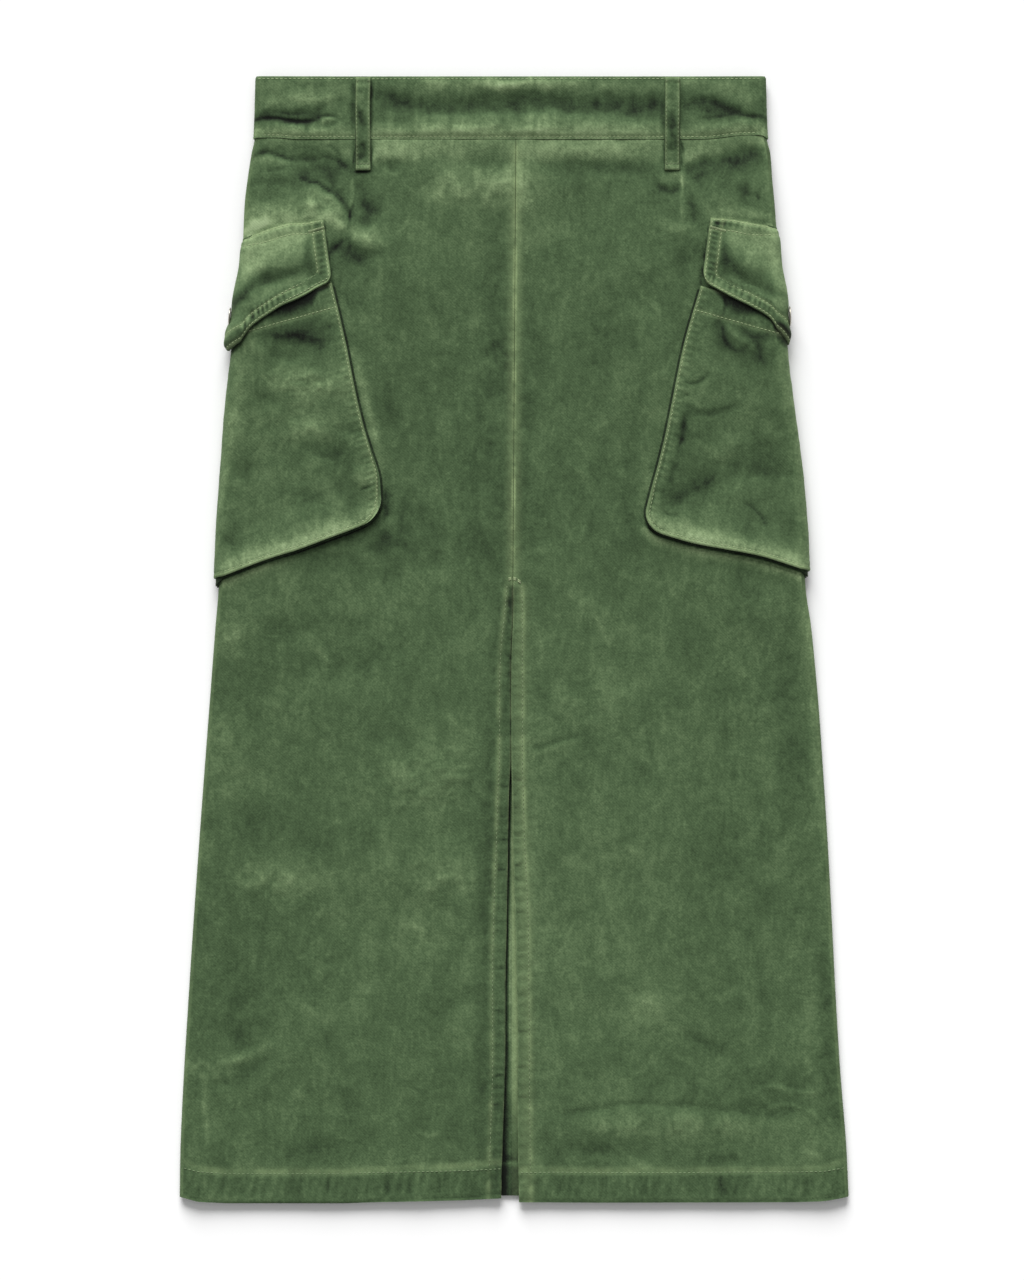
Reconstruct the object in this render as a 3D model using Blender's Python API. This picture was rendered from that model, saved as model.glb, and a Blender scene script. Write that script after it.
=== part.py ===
"""Cargo utility skirt laid flat: a flattened tube of cloth with cargo pockets round its sides."""
import math
from collections import namedtuple

import bmesh
import bpy

# ------------------------------------------------------------------ driving dimensions, in mm
LENGTH = 855.0          # waist edge to the lowest point of the hem
CLOTH = 1.2             # one ply of brushed twill
SEAM = 0.3              # clearance between pieces that are sewn together
FOLD_RADIUS = 3.1       # outside radius of the skirt's side folds
MIDDLE_STACK = 5.0      # outside height of the flattened tube away from the folds
HEM_STACK = 5.5         # the same over the doubled hem
STACK_REACH = 60.0      # distance from a fold to where the tube is at its middle height

BAND_DEPTH = 47.6       # waistband, top edge to seam
BAND_PROUD = 1.0        # the waistband's outer ply stands this far above the panels
BAND_LIFT = 3.05        # the back of the waistband lies on its two loops
BAND_LIFT_END = 74.0
BAND_LIFT_RAMP = 70.0

HEM_DEPTH = 21.5
BACK_HEM = 849.4
SLIT_TOP = 382.3
SLIT_FACING = 10.5
CENTRE_BACK_X = -1.9

LOOP_WIDTH = 12.2
LOOP_PLIES = 1.7
LOOP_X = {"left": -114.8, "right": 121.6}

POCKET_TILT = math.radians(16.0)
MOUTH_DROP = 179.0      # drop of the pocket mouth at the middle of the pocket
POCKET_SHIFT = {"left": -7.0, "right": -7.0}
POCKET_CORNER = 15.0
PATCH_CLOTH = 1.5
PATCH_TOP = 4.2         # outer face of the pocket rim above the skirt
PATCH_SAG = 1.5         # the middle of the patch lies this much lower
PATCH_LIFT = 4.25
FLAP_PLIES = 2.0
FLAP_SEAT = 0.4
FLAP_LIFT = 6.55
GUSSET_CLOTH = 0.9
GUSSET_DEPTH = 12.0
GUSSET_PEEK = 1.6

SNAP_DROP = {"left": 183.0, "right": 182.0}
SNAP_SIDES = 20

ZIP_WIDTH = 24.0
ZIP_THICK = 0.9

TILT_COS = math.cos(POCKET_TILT)
TILT_SIN = math.sin(POCKET_TILT)
QUARTER = FOLD_RADIUS * math.pi / 2.0
SIGN = {"left": -1.0, "right": 1.0}

# ------------------------------------------------------------------ outline tables, in mm
# Side folds of the skirt itself, seen from above.
FoldRow = namedtuple("FoldRow", "drop left right")
SIDE_FOLDS = (
    FoldRow(0.0, -195.2, 190.2),
    FoldRow(47.9, -196.9, 191.9),
    FoldRow(58.0, -199.0, 194.4),
    FoldRow(78.0, -202.0, 195.8),
    FoldRow(98.0, -204.2, 197.6),
    FoldRow(150.0, -206.3, 201.2),
    FoldRow(200.0, -209.6, 202.6),
    FoldRow(245.0, -214.8, 208.0),
    FoldRow(300.0, -219.2, 215.4),
    FoldRow(345.0, -222.4, 219.0),
    FoldRow(390.0, -224.2, 221.4),
    FoldRow(417.0, -226.5, 225.4),
    FoldRow(474.0, -231.0, 231.0),
    FoldRow(531.0, -235.4, 235.0),
    FoldRow(588.0, -239.6, 238.6),
    FoldRow(645.0, -243.6, 241.6),
    FoldRow(702.0, -247.2, 244.4),
    FoldRow(759.0, -250.6, 247.8),
    FoldRow(815.0, -252.8, 251.6),
    FoldRow(855.0, -253.1, 253.1),
)

# Centre-front seam, then the two edges of the front slit.
EdgeRow = namedtuple("EdgeRow", "drop left right")
FRONT_EDGES = (
    EdgeRow(0.0, 1.65, 1.95),
    EdgeRow(382.0, -0.95, -0.65),
    EdgeRow(407.0, -0.95, -0.60),
    EdgeRow(442.0, -2.40, -2.00),
    EdgeRow(519.0, -2.60, -2.00),
    EdgeRow(543.0, -3.80, -1.40),
    EdgeRow(588.0, -4.60, -0.60),
    EdgeRow(641.0, -5.50, 1.00),
    EdgeRow(685.0, -6.40, 1.90),
    EdgeRow(717.0, -6.50, 2.70),
    EdgeRow(758.0, -6.80, 2.70),
    EdgeRow(797.0, -8.10, 2.80),
    EdgeRow(835.0, -9.30, 3.40),
    EdgeRow(855.0, -9.65, 3.80),
)

# Lower edge of the fronts across the skirt.
HemRow = namedtuple("HemRow", "x drop")
FRONT_HEM = (
    HemRow(-253.0, 850.2),
    HemRow(-240.0, 853.8),
    HemRow(-219.0, 855.0),
    HemRow(-128.0, 855.0),
    HemRow(-105.0, 854.2),
    HemRow(-71.0, 853.5),
    HemRow(-37.0, 852.7),
    HemRow(-9.6, 851.2),
    HemRow(3.8, 854.2),
    HemRow(65.0, 854.6),
    HemRow(213.0, 854.2),
    HemRow(235.0, 853.4),
    HemRow(248.0, 851.2),
    HemRow(253.0, 849.8),
)

# Half width of the pocket patch down its length, on the front and on the back of the skirt.
PatchRow = namedtuple("PatchRow", "fall left right back")
PATCH_SIDES = (
    PatchRow(0.0, 80.5, 71.6, 80.0),
    PatchRow(35.0, 81.0, 72.6, 80.0),
    PatchRow(75.0, 82.0, 74.2, 80.0),
    PatchRow(115.0, 83.4, 76.0, 80.0),
    PatchRow(145.0, 85.2, 78.4, 80.0),
    PatchRow(170.0, 86.2, 80.2, 80.0),
    PatchRow(200.0, 86.2, 80.6, 80.0),
)

# Length of the pocket patch across its width.
BottomRow = namedtuple("BottomRow", "across left right")
PATCH_BOTTOM = (
    BottomRow(-85.0, 196.0, 191.0),
    BottomRow(-50.0, 196.0, 190.5),
    BottomRow(-15.0, 193.8, 191.0),
    BottomRow(15.0, 193.4, 193.6),
    BottomRow(40.0, 191.0, 195.4),
    BottomRow(62.0, 188.6, 194.8),
    BottomRow(86.0, 185.0, 193.0),
)

# Flap: half width down its length and the lower edge across it.
FlapRow = namedtuple("FlapRow", "fall left right back")
FLAP_SIDES = (
    FlapRow(-60.0, 87.4, 76.4, 85.0),
    FlapRow(-30.0, 83.8, 74.2, 83.0),
    FlapRow(-10.0, 81.8, 72.4, 81.0),
    FlapRow(30.0, 78.6, 70.4, 79.5),
)
FlapEdgeRow = namedtuple("FlapEdgeRow", "across top_left low_left top_right low_right")
FLAP_EDGES = (
    FlapEdgeRow(0.0, -50.0, 27.0, -60.0, 25.0),
    FlapEdgeRow(3.5, -50.0, 22.6, -60.0, 21.4),
    FlapEdgeRow(8.0, -50.0, 18.4, -60.0, 15.6),
    FlapEdgeRow(15.0, -50.0, 14.2, -60.0, 9.6),
    FlapEdgeRow(30.0, -51.6, 8.8, -59.0, 5.2),
    FlapEdgeRow(46.0, -53.0, 5.4, -57.2, 2.2),
    FlapEdgeRow(60.0, -53.0, 2.6, -56.0, -1.0),
    FlapEdgeRow(68.0, -51.0, 1.4, -54.4, -3.2),
    FlapEdgeRow(73.0, -50.0, 0.8, -53.4, -7.0),
    FlapEdgeRow(79.0, -49.4, -0.4, -53.0, -10.0),
    FlapEdgeRow(88.0, -49.0, -6.0, -53.0, -12.0),
)

# Large soft folds of the fronts: centre, half length, half width, turn in degrees, height.
Fold = namedtuple("Fold", "x drop length width turn height")
SOFT_FOLDS = (
    Fold(5.0, 20.0, 95.0, 9.0, 0.0, -0.9),
    Fold(5.0, 36.0, 95.0, 9.0, 0.0, 0.5),
    Fold(10.0, 67.0, 70.0, 10.0, 0.0, -0.6),
    Fold(-172.0, 62.0, 34.0, 8.0, 8.0, -0.8),
    Fold(-140.0, 82.0, 24.0, 8.0, 38.0, -0.6),
    Fold(172.0, 62.0, 30.0, 8.0, -8.0, -0.8),
    Fold(-90.0, 110.0, 45.0, 22.0, 80.0, 0.8),
    Fold(100.0, 112.0, 45.0, 22.0, -80.0, 0.7),
    Fold(-110.0, 600.0, 60.0, 26.0, 4.0, 0.8),
    Fold(-50.0, 600.0, 40.0, 24.0, -4.0, 0.6),
    Fold(90.0, 785.0, 75.0, 22.0, -6.0, 0.7),
    Fold(90.0, 815.0, 70.0, 14.0, 4.0, -0.5),
    Fold(150.0, 470.0, 90.0, 30.0, 12.0, 0.5),
    Fold(-140.0, 480.0, 90.0, 30.0, -20.0, 0.5),
)

# Belt loop: underside above the skirt, down its length.
LoopRow = namedtuple("LoopRow", "drop front back")
LOOP_ROWS = (
    LoopRow(1.0, 1.3, 1.3),
    LoopRow(5.0, 1.3, 1.3),
    LoopRow(14.0, 1.9, 1.3),
    LoopRow(26.0, 2.3, 1.3),
    LoopRow(38.0, 2.1, 1.3),
    LoopRow(49.5, 1.6, 1.3),
    LoopRow(56.0, 0.8, 0.8),
    LoopRow(61.5, 0.3, 0.3),
    LoopRow(72.0, 0.3, 0.3),
)

# Press-stud cap: radius and height of its turned profile.
CapRow = namedtuple("CapRow", "radius height")
CAP_PROFILE = (
    CapRow(6.9, 0.0),
    CapRow(7.5, 0.3),
    CapRow(7.5, 0.6),
    CapRow(6.8, 1.1),
    CapRow(5.0, 1.4),
)

PANEL_ROWS = (
    BAND_DEPTH + SEAM, 58.0, 72.0, 86.0, 100.0, 115.0, 130.0, 148.0, 166.0, 184.0, 202.0, 220.0, 240.0, 260.0,
    280.0, 300.0, 320.0, 340.0, 361.0, 382.3, 400.0, 425.0, 460.0, 500.0, 550.0, 605.0, 660.0,
    715.0, 775.0, LENGTH - HEM_DEPTH - 1.0, LENGTH - HEM_DEPTH, LENGTH,
)
FRONT_FLAT_CELLS = 11
BACK_FLAT_CELLS = 11
ARC_STEPS = (1.0, 0.75, 0.5, 0.25)
BAND_ROWS = (0.0, 1.8, 12.0, 22.0, 32.0, BAND_DEPTH)
BAND_FLAT_CELLS = 9
PATCH_ROWS = (0.0, 8.0, 18.5, 36.0, 56.0, 77.0, 98.0, 119.0, 139.0, 157.0, 170.0, 178.0, 184.5,
              189.0, 192.0, 193.0)
PATCH_REFERENCE = 193.0
PATCH_FRONT_STEPS = (0.0, 0.04, 0.12, 0.28, 0.48, 0.68, 0.86)
PATCH_BACK_STEPS = (0.22, 0.5, 0.8, 0.93, 1.0)
WRAP_STEPS = (1.0, 0.75, 0.5, 0.25, 0.0, -0.25, -0.5, -0.75, -1.0)
FLAP_UPPER_ROWS = (0.0, 0.3, 0.62, 0.76, 0.88, 1.0)
FLAP_TURN = -2.0
FLAP_LOWER_ROWS = (0.35, 0.7, 1.0)
FLAP_FRONT_STEPS = (0.0, 0.05, 0.16, 0.36, 0.56, 0.74, 0.83, 0.9, 0.95)
FLAP_BACK_STEPS = (0.06, 0.14, 0.3, 0.5, 0.72, 0.93, 1.0)
ZIP_ROWS = (6.0, 26.0, 45.0, 62.0, 80.0, 100.0, 120.0, 150.0, 180.0, 210.0)

TWILL = (0.083, 0.130, 0.061, 1.0)
TWILL_DARK = (0.066, 0.106, 0.049, 1.0)
METAL = (0.52, 0.50, 0.45, 1.0)
ZIP_TAPE = (0.060, 0.085, 0.046, 1.0)


# ------------------------------------------------------------------ small helpers
def ease(t):
    """Smooth step from 0 to 1."""
    t = min(1.0, max(0.0, t))
    return t * t * (3.0 - 2.0 * t)


def along(rows, column, at):
    """Value of a named column at a position in the table's first column, eased between rows."""
    keys = [row[0] for row in rows]
    values = [getattr(row, column) for row in rows]
    if at <= keys[0]:
        return values[0]
    if at >= keys[-1]:
        return values[-1]
    k = max(i for i in range(len(keys) - 1) if keys[i] <= at)

    def slope(i):
        low = max(i - 1, 0)
        high = min(i + 1, len(keys) - 1)
        return (values[high] - values[low]) / (keys[high] - keys[low])

    span = keys[k + 1] - keys[k]
    t = (at - keys[k]) / span
    start = (1.0 + 2.0 * t) * (1.0 - t) ** 2 * values[k] + t * (1.0 - t) ** 2 * span * slope(k)
    finish = t * t * (3.0 - 2.0 * t) * values[k + 1] + t * t * (t - 1.0) * span * slope(k + 1)
    return start + finish


def straight(rows, column, at):
    """The same with straight lines between the rows."""
    keys = [row[0] for row in rows]
    values = [getattr(row, column) for row in rows]
    if at <= keys[0]:
        return values[0]
    if at >= keys[-1]:
        return values[-1]
    k = max(i for i in range(len(keys) - 1) if keys[i] <= at)
    t = (at - keys[k]) / (keys[k + 1] - keys[k])
    return values[k] + (values[k + 1] - values[k]) * t


# ------------------------------------------------------------------ the skirt's surface
def to_pocket(side, s, drop):
    """Pocket coordinates (across, fall) of a place s mm round from the side fold."""
    ds = s - POCKET_SHIFT[side]
    dd = drop - MOUTH_DROP
    return ds * TILT_COS - dd * TILT_SIN, ds * TILT_SIN + dd * TILT_COS


def from_pocket(side, across, fall):
    """Distance from the side fold and drop of a place in pocket coordinates."""
    s = POCKET_SHIFT[side] + across * TILT_COS + fall * TILT_SIN
    return s, MOUTH_DROP - across * TILT_SIN + fall * TILT_COS


def lift(side, u, drop):
    """Height of the back's underside: it lies on the back half of the pocket and on its loops."""
    across, fall = to_pocket(side, -(u + QUARTER), drop)
    stack = FLAP_LIFT + (PATCH_LIFT - FLAP_LIFT) * ease((fall - 30.0) / 90.0)
    inside = 1.0 - ease((-86.0 - across) / 100.0)
    inside *= 1.0 - ease((-57.0 - fall) / 75.0)
    inside *= 1.0 - ease((fall - 199.0) / 100.0)
    band = BAND_LIFT * (1.0 - ease((drop - BAND_LIFT_END) / BAND_LIFT_RAMP))
    return stack * inside + band


def stack_height(u, drop):
    """Outside height of the flattened tube, u mm in from the side fold."""
    middle = MIDDLE_STACK + (HEM_STACK - MIDDLE_STACK) * ease((drop - 750.0) / 70.0)
    return 2.0 * FOLD_RADIUS + (middle - 2.0 * FOLD_RADIUS) * ease(u / STACK_REACH)


def soft_relief(x, drop):
    """Height of the large soft folds of the fronts."""
    total = 0.0
    for fold in SOFT_FOLDS:
        turn = math.radians(fold.turn)
        dx = x - fold.x
        dd = drop - fold.drop
        length = (dx * math.cos(turn) + dd * math.sin(turn)) / fold.length
        width = (dd * math.cos(turn) - dx * math.sin(turn)) / fold.width
        total += fold.height * math.exp(-length * length - width * width)
    return total


def skirt_point(side, s, drop, out):
    """Point out mm above the skirt, s mm round from the side fold, front positive."""
    sign = SIGN[side]
    fold = along(SIDE_FOLDS, side, drop)
    if abs(s) <= QUARTER:
        angle = s / FOLD_RADIUS
        reach = FOLD_RADIUS + out
        x = fold - sign * (FOLD_RADIUS - reach * math.cos(angle))
        z = lift(side, 0.0, drop) + FOLD_RADIUS + reach * math.sin(angle)
        return x, LENGTH / 2.0 - drop, z
    u = abs(s) - QUARTER
    x = fold - sign * (FOLD_RADIUS + u)
    base = lift(side, u, drop)
    if s < 0.0:
        return x, LENGTH / 2.0 - drop, base - out
    top = base + stack_height(u, drop) + soft_relief(x, drop) * ease(u / 18.0)
    return x, LENGTH / 2.0 - drop, top + out


def around(side, x, drop):
    """Distance from the side fold on the front face at a given x."""
    return abs(along(SIDE_FOLDS, side, drop) - x) - FOLD_RADIUS + QUARTER


def side_seam(out):
    """Distance from the side fold that leaves half the seam clearance at any depth."""
    return SEAM / 2.0 * FOLD_RADIUS / (FOLD_RADIUS + out)


# ------------------------------------------------------------------ solids
def finish_material(name, colour, metal, roughness):
    material = bpy.data.materials.new(name)
    material.use_nodes = True
    shader = material.node_tree.nodes["Principled BSDF"]
    shader.inputs["Base Color"].default_value = colour
    shader.inputs["Metallic"].default_value = metal
    shader.inputs["Roughness"].default_value = roughness
    return material


def solid(name, points, faces, colour, metal=0.0, roughness=0.9):
    """A closed body from points in mm."""
    mesh = bpy.data.meshes.new(name)
    mesh.from_pydata([(x / 1000.0, y / 1000.0, z / 1000.0) for x, y, z in points], [], faces)
    body = bmesh.new()
    body.from_mesh(mesh)
    bmesh.ops.triangulate(body, faces=body.faces[:], quad_method="FIXED")
    bmesh.ops.recalc_face_normals(body, faces=body.faces[:])
    body.to_mesh(mesh)
    body.free()
    for polygon in mesh.polygons:
        polygon.use_smooth = True
    mesh.set_sharp_from_angle(angle=math.radians(38.0))
    mesh.materials.append(finish_material(name, colour, metal, roughness))
    thing = bpy.data.objects.new(name, mesh)
    bpy.context.collection.objects.link(thing)
    return thing


def wall(name, outer, inner, colour):
    """A sheet of cloth with thickness between two matching grids of points."""
    rows = len(outer)
    columns = len(outer[0])
    points = [point for row in outer for point in row]
    points += [point for row in inner for point in row]
    half = rows * columns
    faces = []
    for i in range(rows - 1):
        for j in range(columns - 1):
            a = i * columns + j
            b = a + 1
            c = a + columns + 1
            d = a + columns
            faces.append((a, b, c, d))
            faces.append((a + half, b + half, c + half, d + half))
    rim = [j for j in range(columns)]
    rim += [i * columns + columns - 1 for i in range(1, rows)]
    rim += [(rows - 1) * columns + j for j in range(columns - 2, -1, -1)]
    rim += [i * columns for i in range(rows - 2, 0, -1)]
    for k, a in enumerate(rim):
        b = rim[(k + 1) % len(rim)]
        faces.append((a, b, b + half, a + half))
    return solid(name, points, faces, colour)


def tube(sections):
    """Points and side faces of a body through closed sections of equal length."""
    size = len(sections[0])
    points = [point for section in sections for point in section]
    faces = []
    for i in range(len(sections) - 1):
        for j in range(size):
            a = i * size + j
            b = i * size + (j + 1) % size
            faces.append((a, b, b + size, a + size))
    return points, faces, size


# ------------------------------------------------------------------ skirt panels
def front_panel(side):
    outer = []
    inner = []
    for drop in PANEL_ROWS:
        edge = along(FRONT_EDGES, side, drop)
        width = abs(along(SIDE_FOLDS, side, drop) - edge) - FOLD_RADIUS
        rest = width - SLIT_FACING - 1.0
        flats = [width, width - SLIT_FACING]
        flats += [rest * (1.0 - k / FRONT_FLAT_CELLS) for k in range(FRONT_FLAT_CELLS)]
        places = [u + QUARTER for u in flats]
        places += [QUARTER * step for step in ARC_STEPS]
        hem = drop > LENGTH - HEM_DEPTH - 0.5
        for grid, plies in ((outer, 0.0), (inner, 2.0 if hem else 1.0)):
            line = []
            for column, s in enumerate(places + [side_seam(-plies * CLOTH)]):
                facing = plies > 0.0 and column < 2 and drop > SLIT_TOP - 1.0
                depth = 2.0 * CLOTH if facing else plies * CLOTH
                x, y, z = skirt_point(side, s, drop, -depth)
                low = straight(FRONT_HEM, "drop", x) - LENGTH
                line.append((x, y - low * ease((drop - 600.0) / (LENGTH - 600.0)), z))
            grid.append(line)
    return wall("front_" + side, outer, inner, TWILL)


def back_panel(side):
    outer = []
    inner = []
    edge = CENTRE_BACK_X + SIGN[side] * SEAM / 2.0
    for drop in PANEL_ROWS:
        width = abs(along(SIDE_FOLDS, side, drop) - edge) - FOLD_RADIUS
        flats = [width * (1.0 - k / BACK_FLAT_CELLS) for k in range(BACK_FLAT_CELLS)]
        places = [-(u + QUARTER) for u in flats]
        places += [-QUARTER * step for step in ARC_STEPS]
        depth = 2.0 * CLOTH if drop > LENGTH - HEM_DEPTH - 0.5 else CLOTH
        low = (BACK_HEM - LENGTH) * ease((drop - 600.0) / (LENGTH - 600.0))
        for grid, out in ((outer, 0.0), (inner, -depth)):
            line = [skirt_point(side, s, drop, out) for s in places + [-side_seam(out)]]
            grid.append([(x, y - low, z) for x, y, z in line])
    return wall("back_" + side, outer, inner, TWILL_DARK)


# ------------------------------------------------------------------ waistband and loops
def band_row(face, drop, side, out, edge):
    """Points of one waistband row from the centre edge to the side seam."""
    sign = 1.0 if face == "front" else -1.0
    width = abs(along(SIDE_FOLDS, side, drop) - edge) - FOLD_RADIUS
    flats = [width * (1.0 - k / BAND_FLAT_CELLS) for k in range(BAND_FLAT_CELLS)]
    places = [sign * (u + QUARTER) for u in flats]
    places += [sign * QUARTER * step for step in ARC_STEPS]
    places.append(sign * side_seam(out))
    return [skirt_point(side, s, drop, out) for s in places]


def band_offsets(drop):
    """Outer and inner face of the waistband, rounded at its top fold."""
    if drop < 1.0:
        return BAND_PROUD - 0.6, -CLOTH + 0.6
    return BAND_PROUD, -CLOTH


def waistband_front():
    outer = []
    inner = []
    for drop in BAND_ROWS:
        for grid, out in zip((outer, inner), band_offsets(drop)):
            left = band_row("front", drop, "left", out, 0.0)
            right = band_row("front", drop, "right", out, 0.0)
            grid.append(left[::-1] + right[1:])
    return wall("waistband_front", outer, inner, TWILL)


def waistband_back(side):
    outer = []
    inner = []
    edge = CENTRE_BACK_X + SIGN[side] * SEAM / 2.0
    for drop in BAND_ROWS:
        for grid, out in zip((outer, inner), band_offsets(drop)):
            grid.append(band_row("back", drop, side, out, edge))
    return wall("waistband_back_" + side, outer, inner, TWILL_DARK)


def belt_loop(face, side):
    outer = []
    inner = []
    sign = 1.0 if face == "front" else -1.0
    edges = (LOOP_X[side] - LOOP_WIDTH / 2.0, LOOP_X[side], LOOP_X[side] + LOOP_WIDTH / 2.0)
    for row in LOOP_ROWS:
        under = getattr(row, face)
        for grid, out in ((outer, under + LOOP_PLIES), (inner, under)):
            line = [sign * around(side, x, row.drop) for x in edges]
            grid.append([skirt_point(side, s, row.drop, out) for s in line])
    return wall("belt_loop_" + face + "_" + side, outer, inner, TWILL)


# ------------------------------------------------------------------ pockets
def patch_half(side, fall, back):
    return along(PATCH_SIDES, "back" if back else side, fall)


def patch_edge(side, fall, back):
    """Half width of the patch with its rounded lower corner."""
    half = patch_half(side, fall, back)
    past = fall - (PATCH_REFERENCE - POCKET_CORNER)
    if past <= 0.0:
        return half
    return half - POCKET_CORNER + math.sqrt(max(0.0, POCKET_CORNER ** 2 - past ** 2))


def patch_top(side, across, fall):
    """Height of the patch's outer face above the skirt: a raised rim and a middle that sags."""
    s, _ = from_pocket(side, across, fall)
    half = patch_half(side, fall, across < 0.0)
    sag = ease((half - abs(across) - 10.0) / 30.0)
    sag *= ease((PATCH_REFERENCE - fall - 12.0) / 30.0) * ease((fall - 22.0) / 30.0)
    sag *= ease((s - QUARTER - 2.0) / 24.0)
    return PATCH_TOP - PATCH_SAG * sag


def patch_row(side, fall):
    """Places round the skirt for one row of the patch, front edge to back edge."""
    front, _ = from_pocket(side, patch_edge(side, fall, False), fall)
    back, _ = from_pocket(side, -patch_edge(side, fall, True), fall)
    places = [front + (QUARTER - front) * step for step in PATCH_FRONT_STEPS]
    places += [QUARTER * step for step in WRAP_STEPS]
    places += [-QUARTER + (back + QUARTER) * step for step in PATCH_BACK_STEPS]
    return places


def patch_place(side, s, fall):
    """Across, true fall and drop of a place on a row, with the row bent to the bottom edge."""
    true_fall = fall
    across = 0.0
    for _ in range(6):
        across = (s - POCKET_SHIFT[side] - true_fall * TILT_SIN) / TILT_COS
        bottom = along(PATCH_BOTTOM, side, across)
        share = ease((fall - 110.0) / (PATCH_REFERENCE - 110.0))
        true_fall = fall + (bottom - PATCH_REFERENCE) * share
    drop = MOUTH_DROP - across * TILT_SIN + true_fall * TILT_COS
    return across, true_fall, drop


def pocket(side):
    outer = []
    inner = []
    for fall in PATCH_ROWS:
        outer_row = []
        inner_row = []
        for s in patch_row(side, fall):
            across, _, drop = patch_place(side, s, fall)
            top = patch_top(side, across, fall)
            outer_row.append(skirt_point(side, s, drop, top))
            inner_row.append(skirt_point(side, s, drop, top - PATCH_CLOTH))
        outer.append(outer_row)
        inner.append(inner_row)
    return wall("pocket_" + side, outer, inner, TWILL)


# Gusset path: fall of each station down an edge, corner angles, and steps along the bottom.
GUSSET_FALLS = (3.0, 25.0, 48.0, 72.0, 96.0, 120.0, 142.0, 160.0, 178.0)
GUSSET_TURNS = (30.0, 60.0, 90.0)
GUSSET_FRONT_BOTTOM = (0.16, 0.34, 0.52, 0.7, 0.86)
GUSSET_BACK_BOTTOM = (0.5,)
# Section of the gusset: inset from the patch edge and height above the skirt.
GussetRow = namedtuple("GussetRow", "inset out")
GUSSET_SECTION = (
    GussetRow(-GUSSET_PEEK, SEAM),
    GussetRow(GUSSET_DEPTH, SEAM),
    GussetRow(GUSSET_DEPTH, 2.0 * SEAM + 2.0 * GUSSET_CLOTH),
    GussetRow(-GUSSET_PEEK * 0.4, 2.0 * SEAM + 2.0 * GUSSET_CLOTH),
    GussetRow(-GUSSET_PEEK * 0.4, 2.0 * SEAM + GUSSET_CLOTH),
    GussetRow(GUSSET_DEPTH - 1.0, 2.0 * SEAM + GUSSET_CLOTH),
    GussetRow(GUSSET_DEPTH - 1.0, SEAM + GUSSET_CLOTH),
    GussetRow(-GUSSET_PEEK, SEAM + GUSSET_CLOTH),
)


def gusset_stations(side):
    """Edge place (across, fall) and inset direction of each station, mouth to mouth."""
    slide = TILT_SIN / TILT_COS
    base = PATCH_REFERENCE - POCKET_CORNER
    stations = []
    for fall in GUSSET_FALLS:
        stations.append((patch_half(side, fall, False), fall, -1.0, 0.0))
    corner = patch_half(side, base, False) - POCKET_CORNER
    for degrees in GUSSET_TURNS:
        turn = math.radians(degrees)
        lean = math.sin(turn) ** 2 * slide
        stations.append((corner + POCKET_CORNER * math.cos(turn),
                         base + POCKET_CORNER * math.sin(turn),
                         -math.cos(turn) + lean, -math.sin(turn)))
    start, _ = from_pocket(side, corner, PATCH_REFERENCE)
    back_corner = -patch_half(side, base, True) + POCKET_CORNER
    finish, _ = from_pocket(side, back_corner, PATCH_REFERENCE)
    places = [start + (QUARTER - start) * step for step in GUSSET_FRONT_BOTTOM]
    places += [QUARTER * step for step in WRAP_STEPS]
    places += [-QUARTER + (finish + QUARTER) * step for step in GUSSET_BACK_BOTTOM]
    for s in places:
        across = (s - POCKET_SHIFT[side] - PATCH_REFERENCE * TILT_SIN) / TILT_COS
        stations.append((across, PATCH_REFERENCE, slide, -1.0))
    for degrees in GUSSET_TURNS[::-1]:
        turn = math.radians(degrees)
        lean = math.sin(turn) ** 2 * slide
        stations.append((back_corner - POCKET_CORNER * math.cos(turn),
                         base + POCKET_CORNER * math.sin(turn),
                         math.cos(turn) + lean, -math.sin(turn)))
    for fall in GUSSET_FALLS[::-1]:
        stations.append((-patch_half(side, fall, True), fall, 1.0, 0.0))
    return stations


def pocket_gusset(side):
    sections = []
    for across, fall, toward_across, toward_fall in gusset_stations(side):
        section = []
        for row in GUSSET_SECTION:
            place = across + toward_across * row.inset
            reach = fall + toward_fall * row.inset
            s, _ = from_pocket(side, place, reach)
            _, _, drop = patch_place(side, s, reach)
            section.append(skirt_point(side, s, drop, row.out))
        sections.append(section)
    points, faces, size = tube(sections)
    last = (len(sections) - 1) * size
    for first in (0, last):
        faces.append((first, first + 1, first + 6, first + 7))
        faces.append((first + 1, first + 2, first + 5, first + 6))
        faces.append((first + 2, first + 3, first + 4, first + 5))
    return solid("pocket_gusset_" + side, points, faces, TWILL_DARK)


# ------------------------------------------------------------------ flaps
def flap_under(side, across, fall):
    """Height of the flap's underside: sewn to the skirt above, over the patch below."""
    over = patch_top(side, across, max(fall, 0.0)) + SEAM
    return FLAP_SEAT + (over - FLAP_SEAT) * ease((fall + 24.0) / 20.0)


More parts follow.
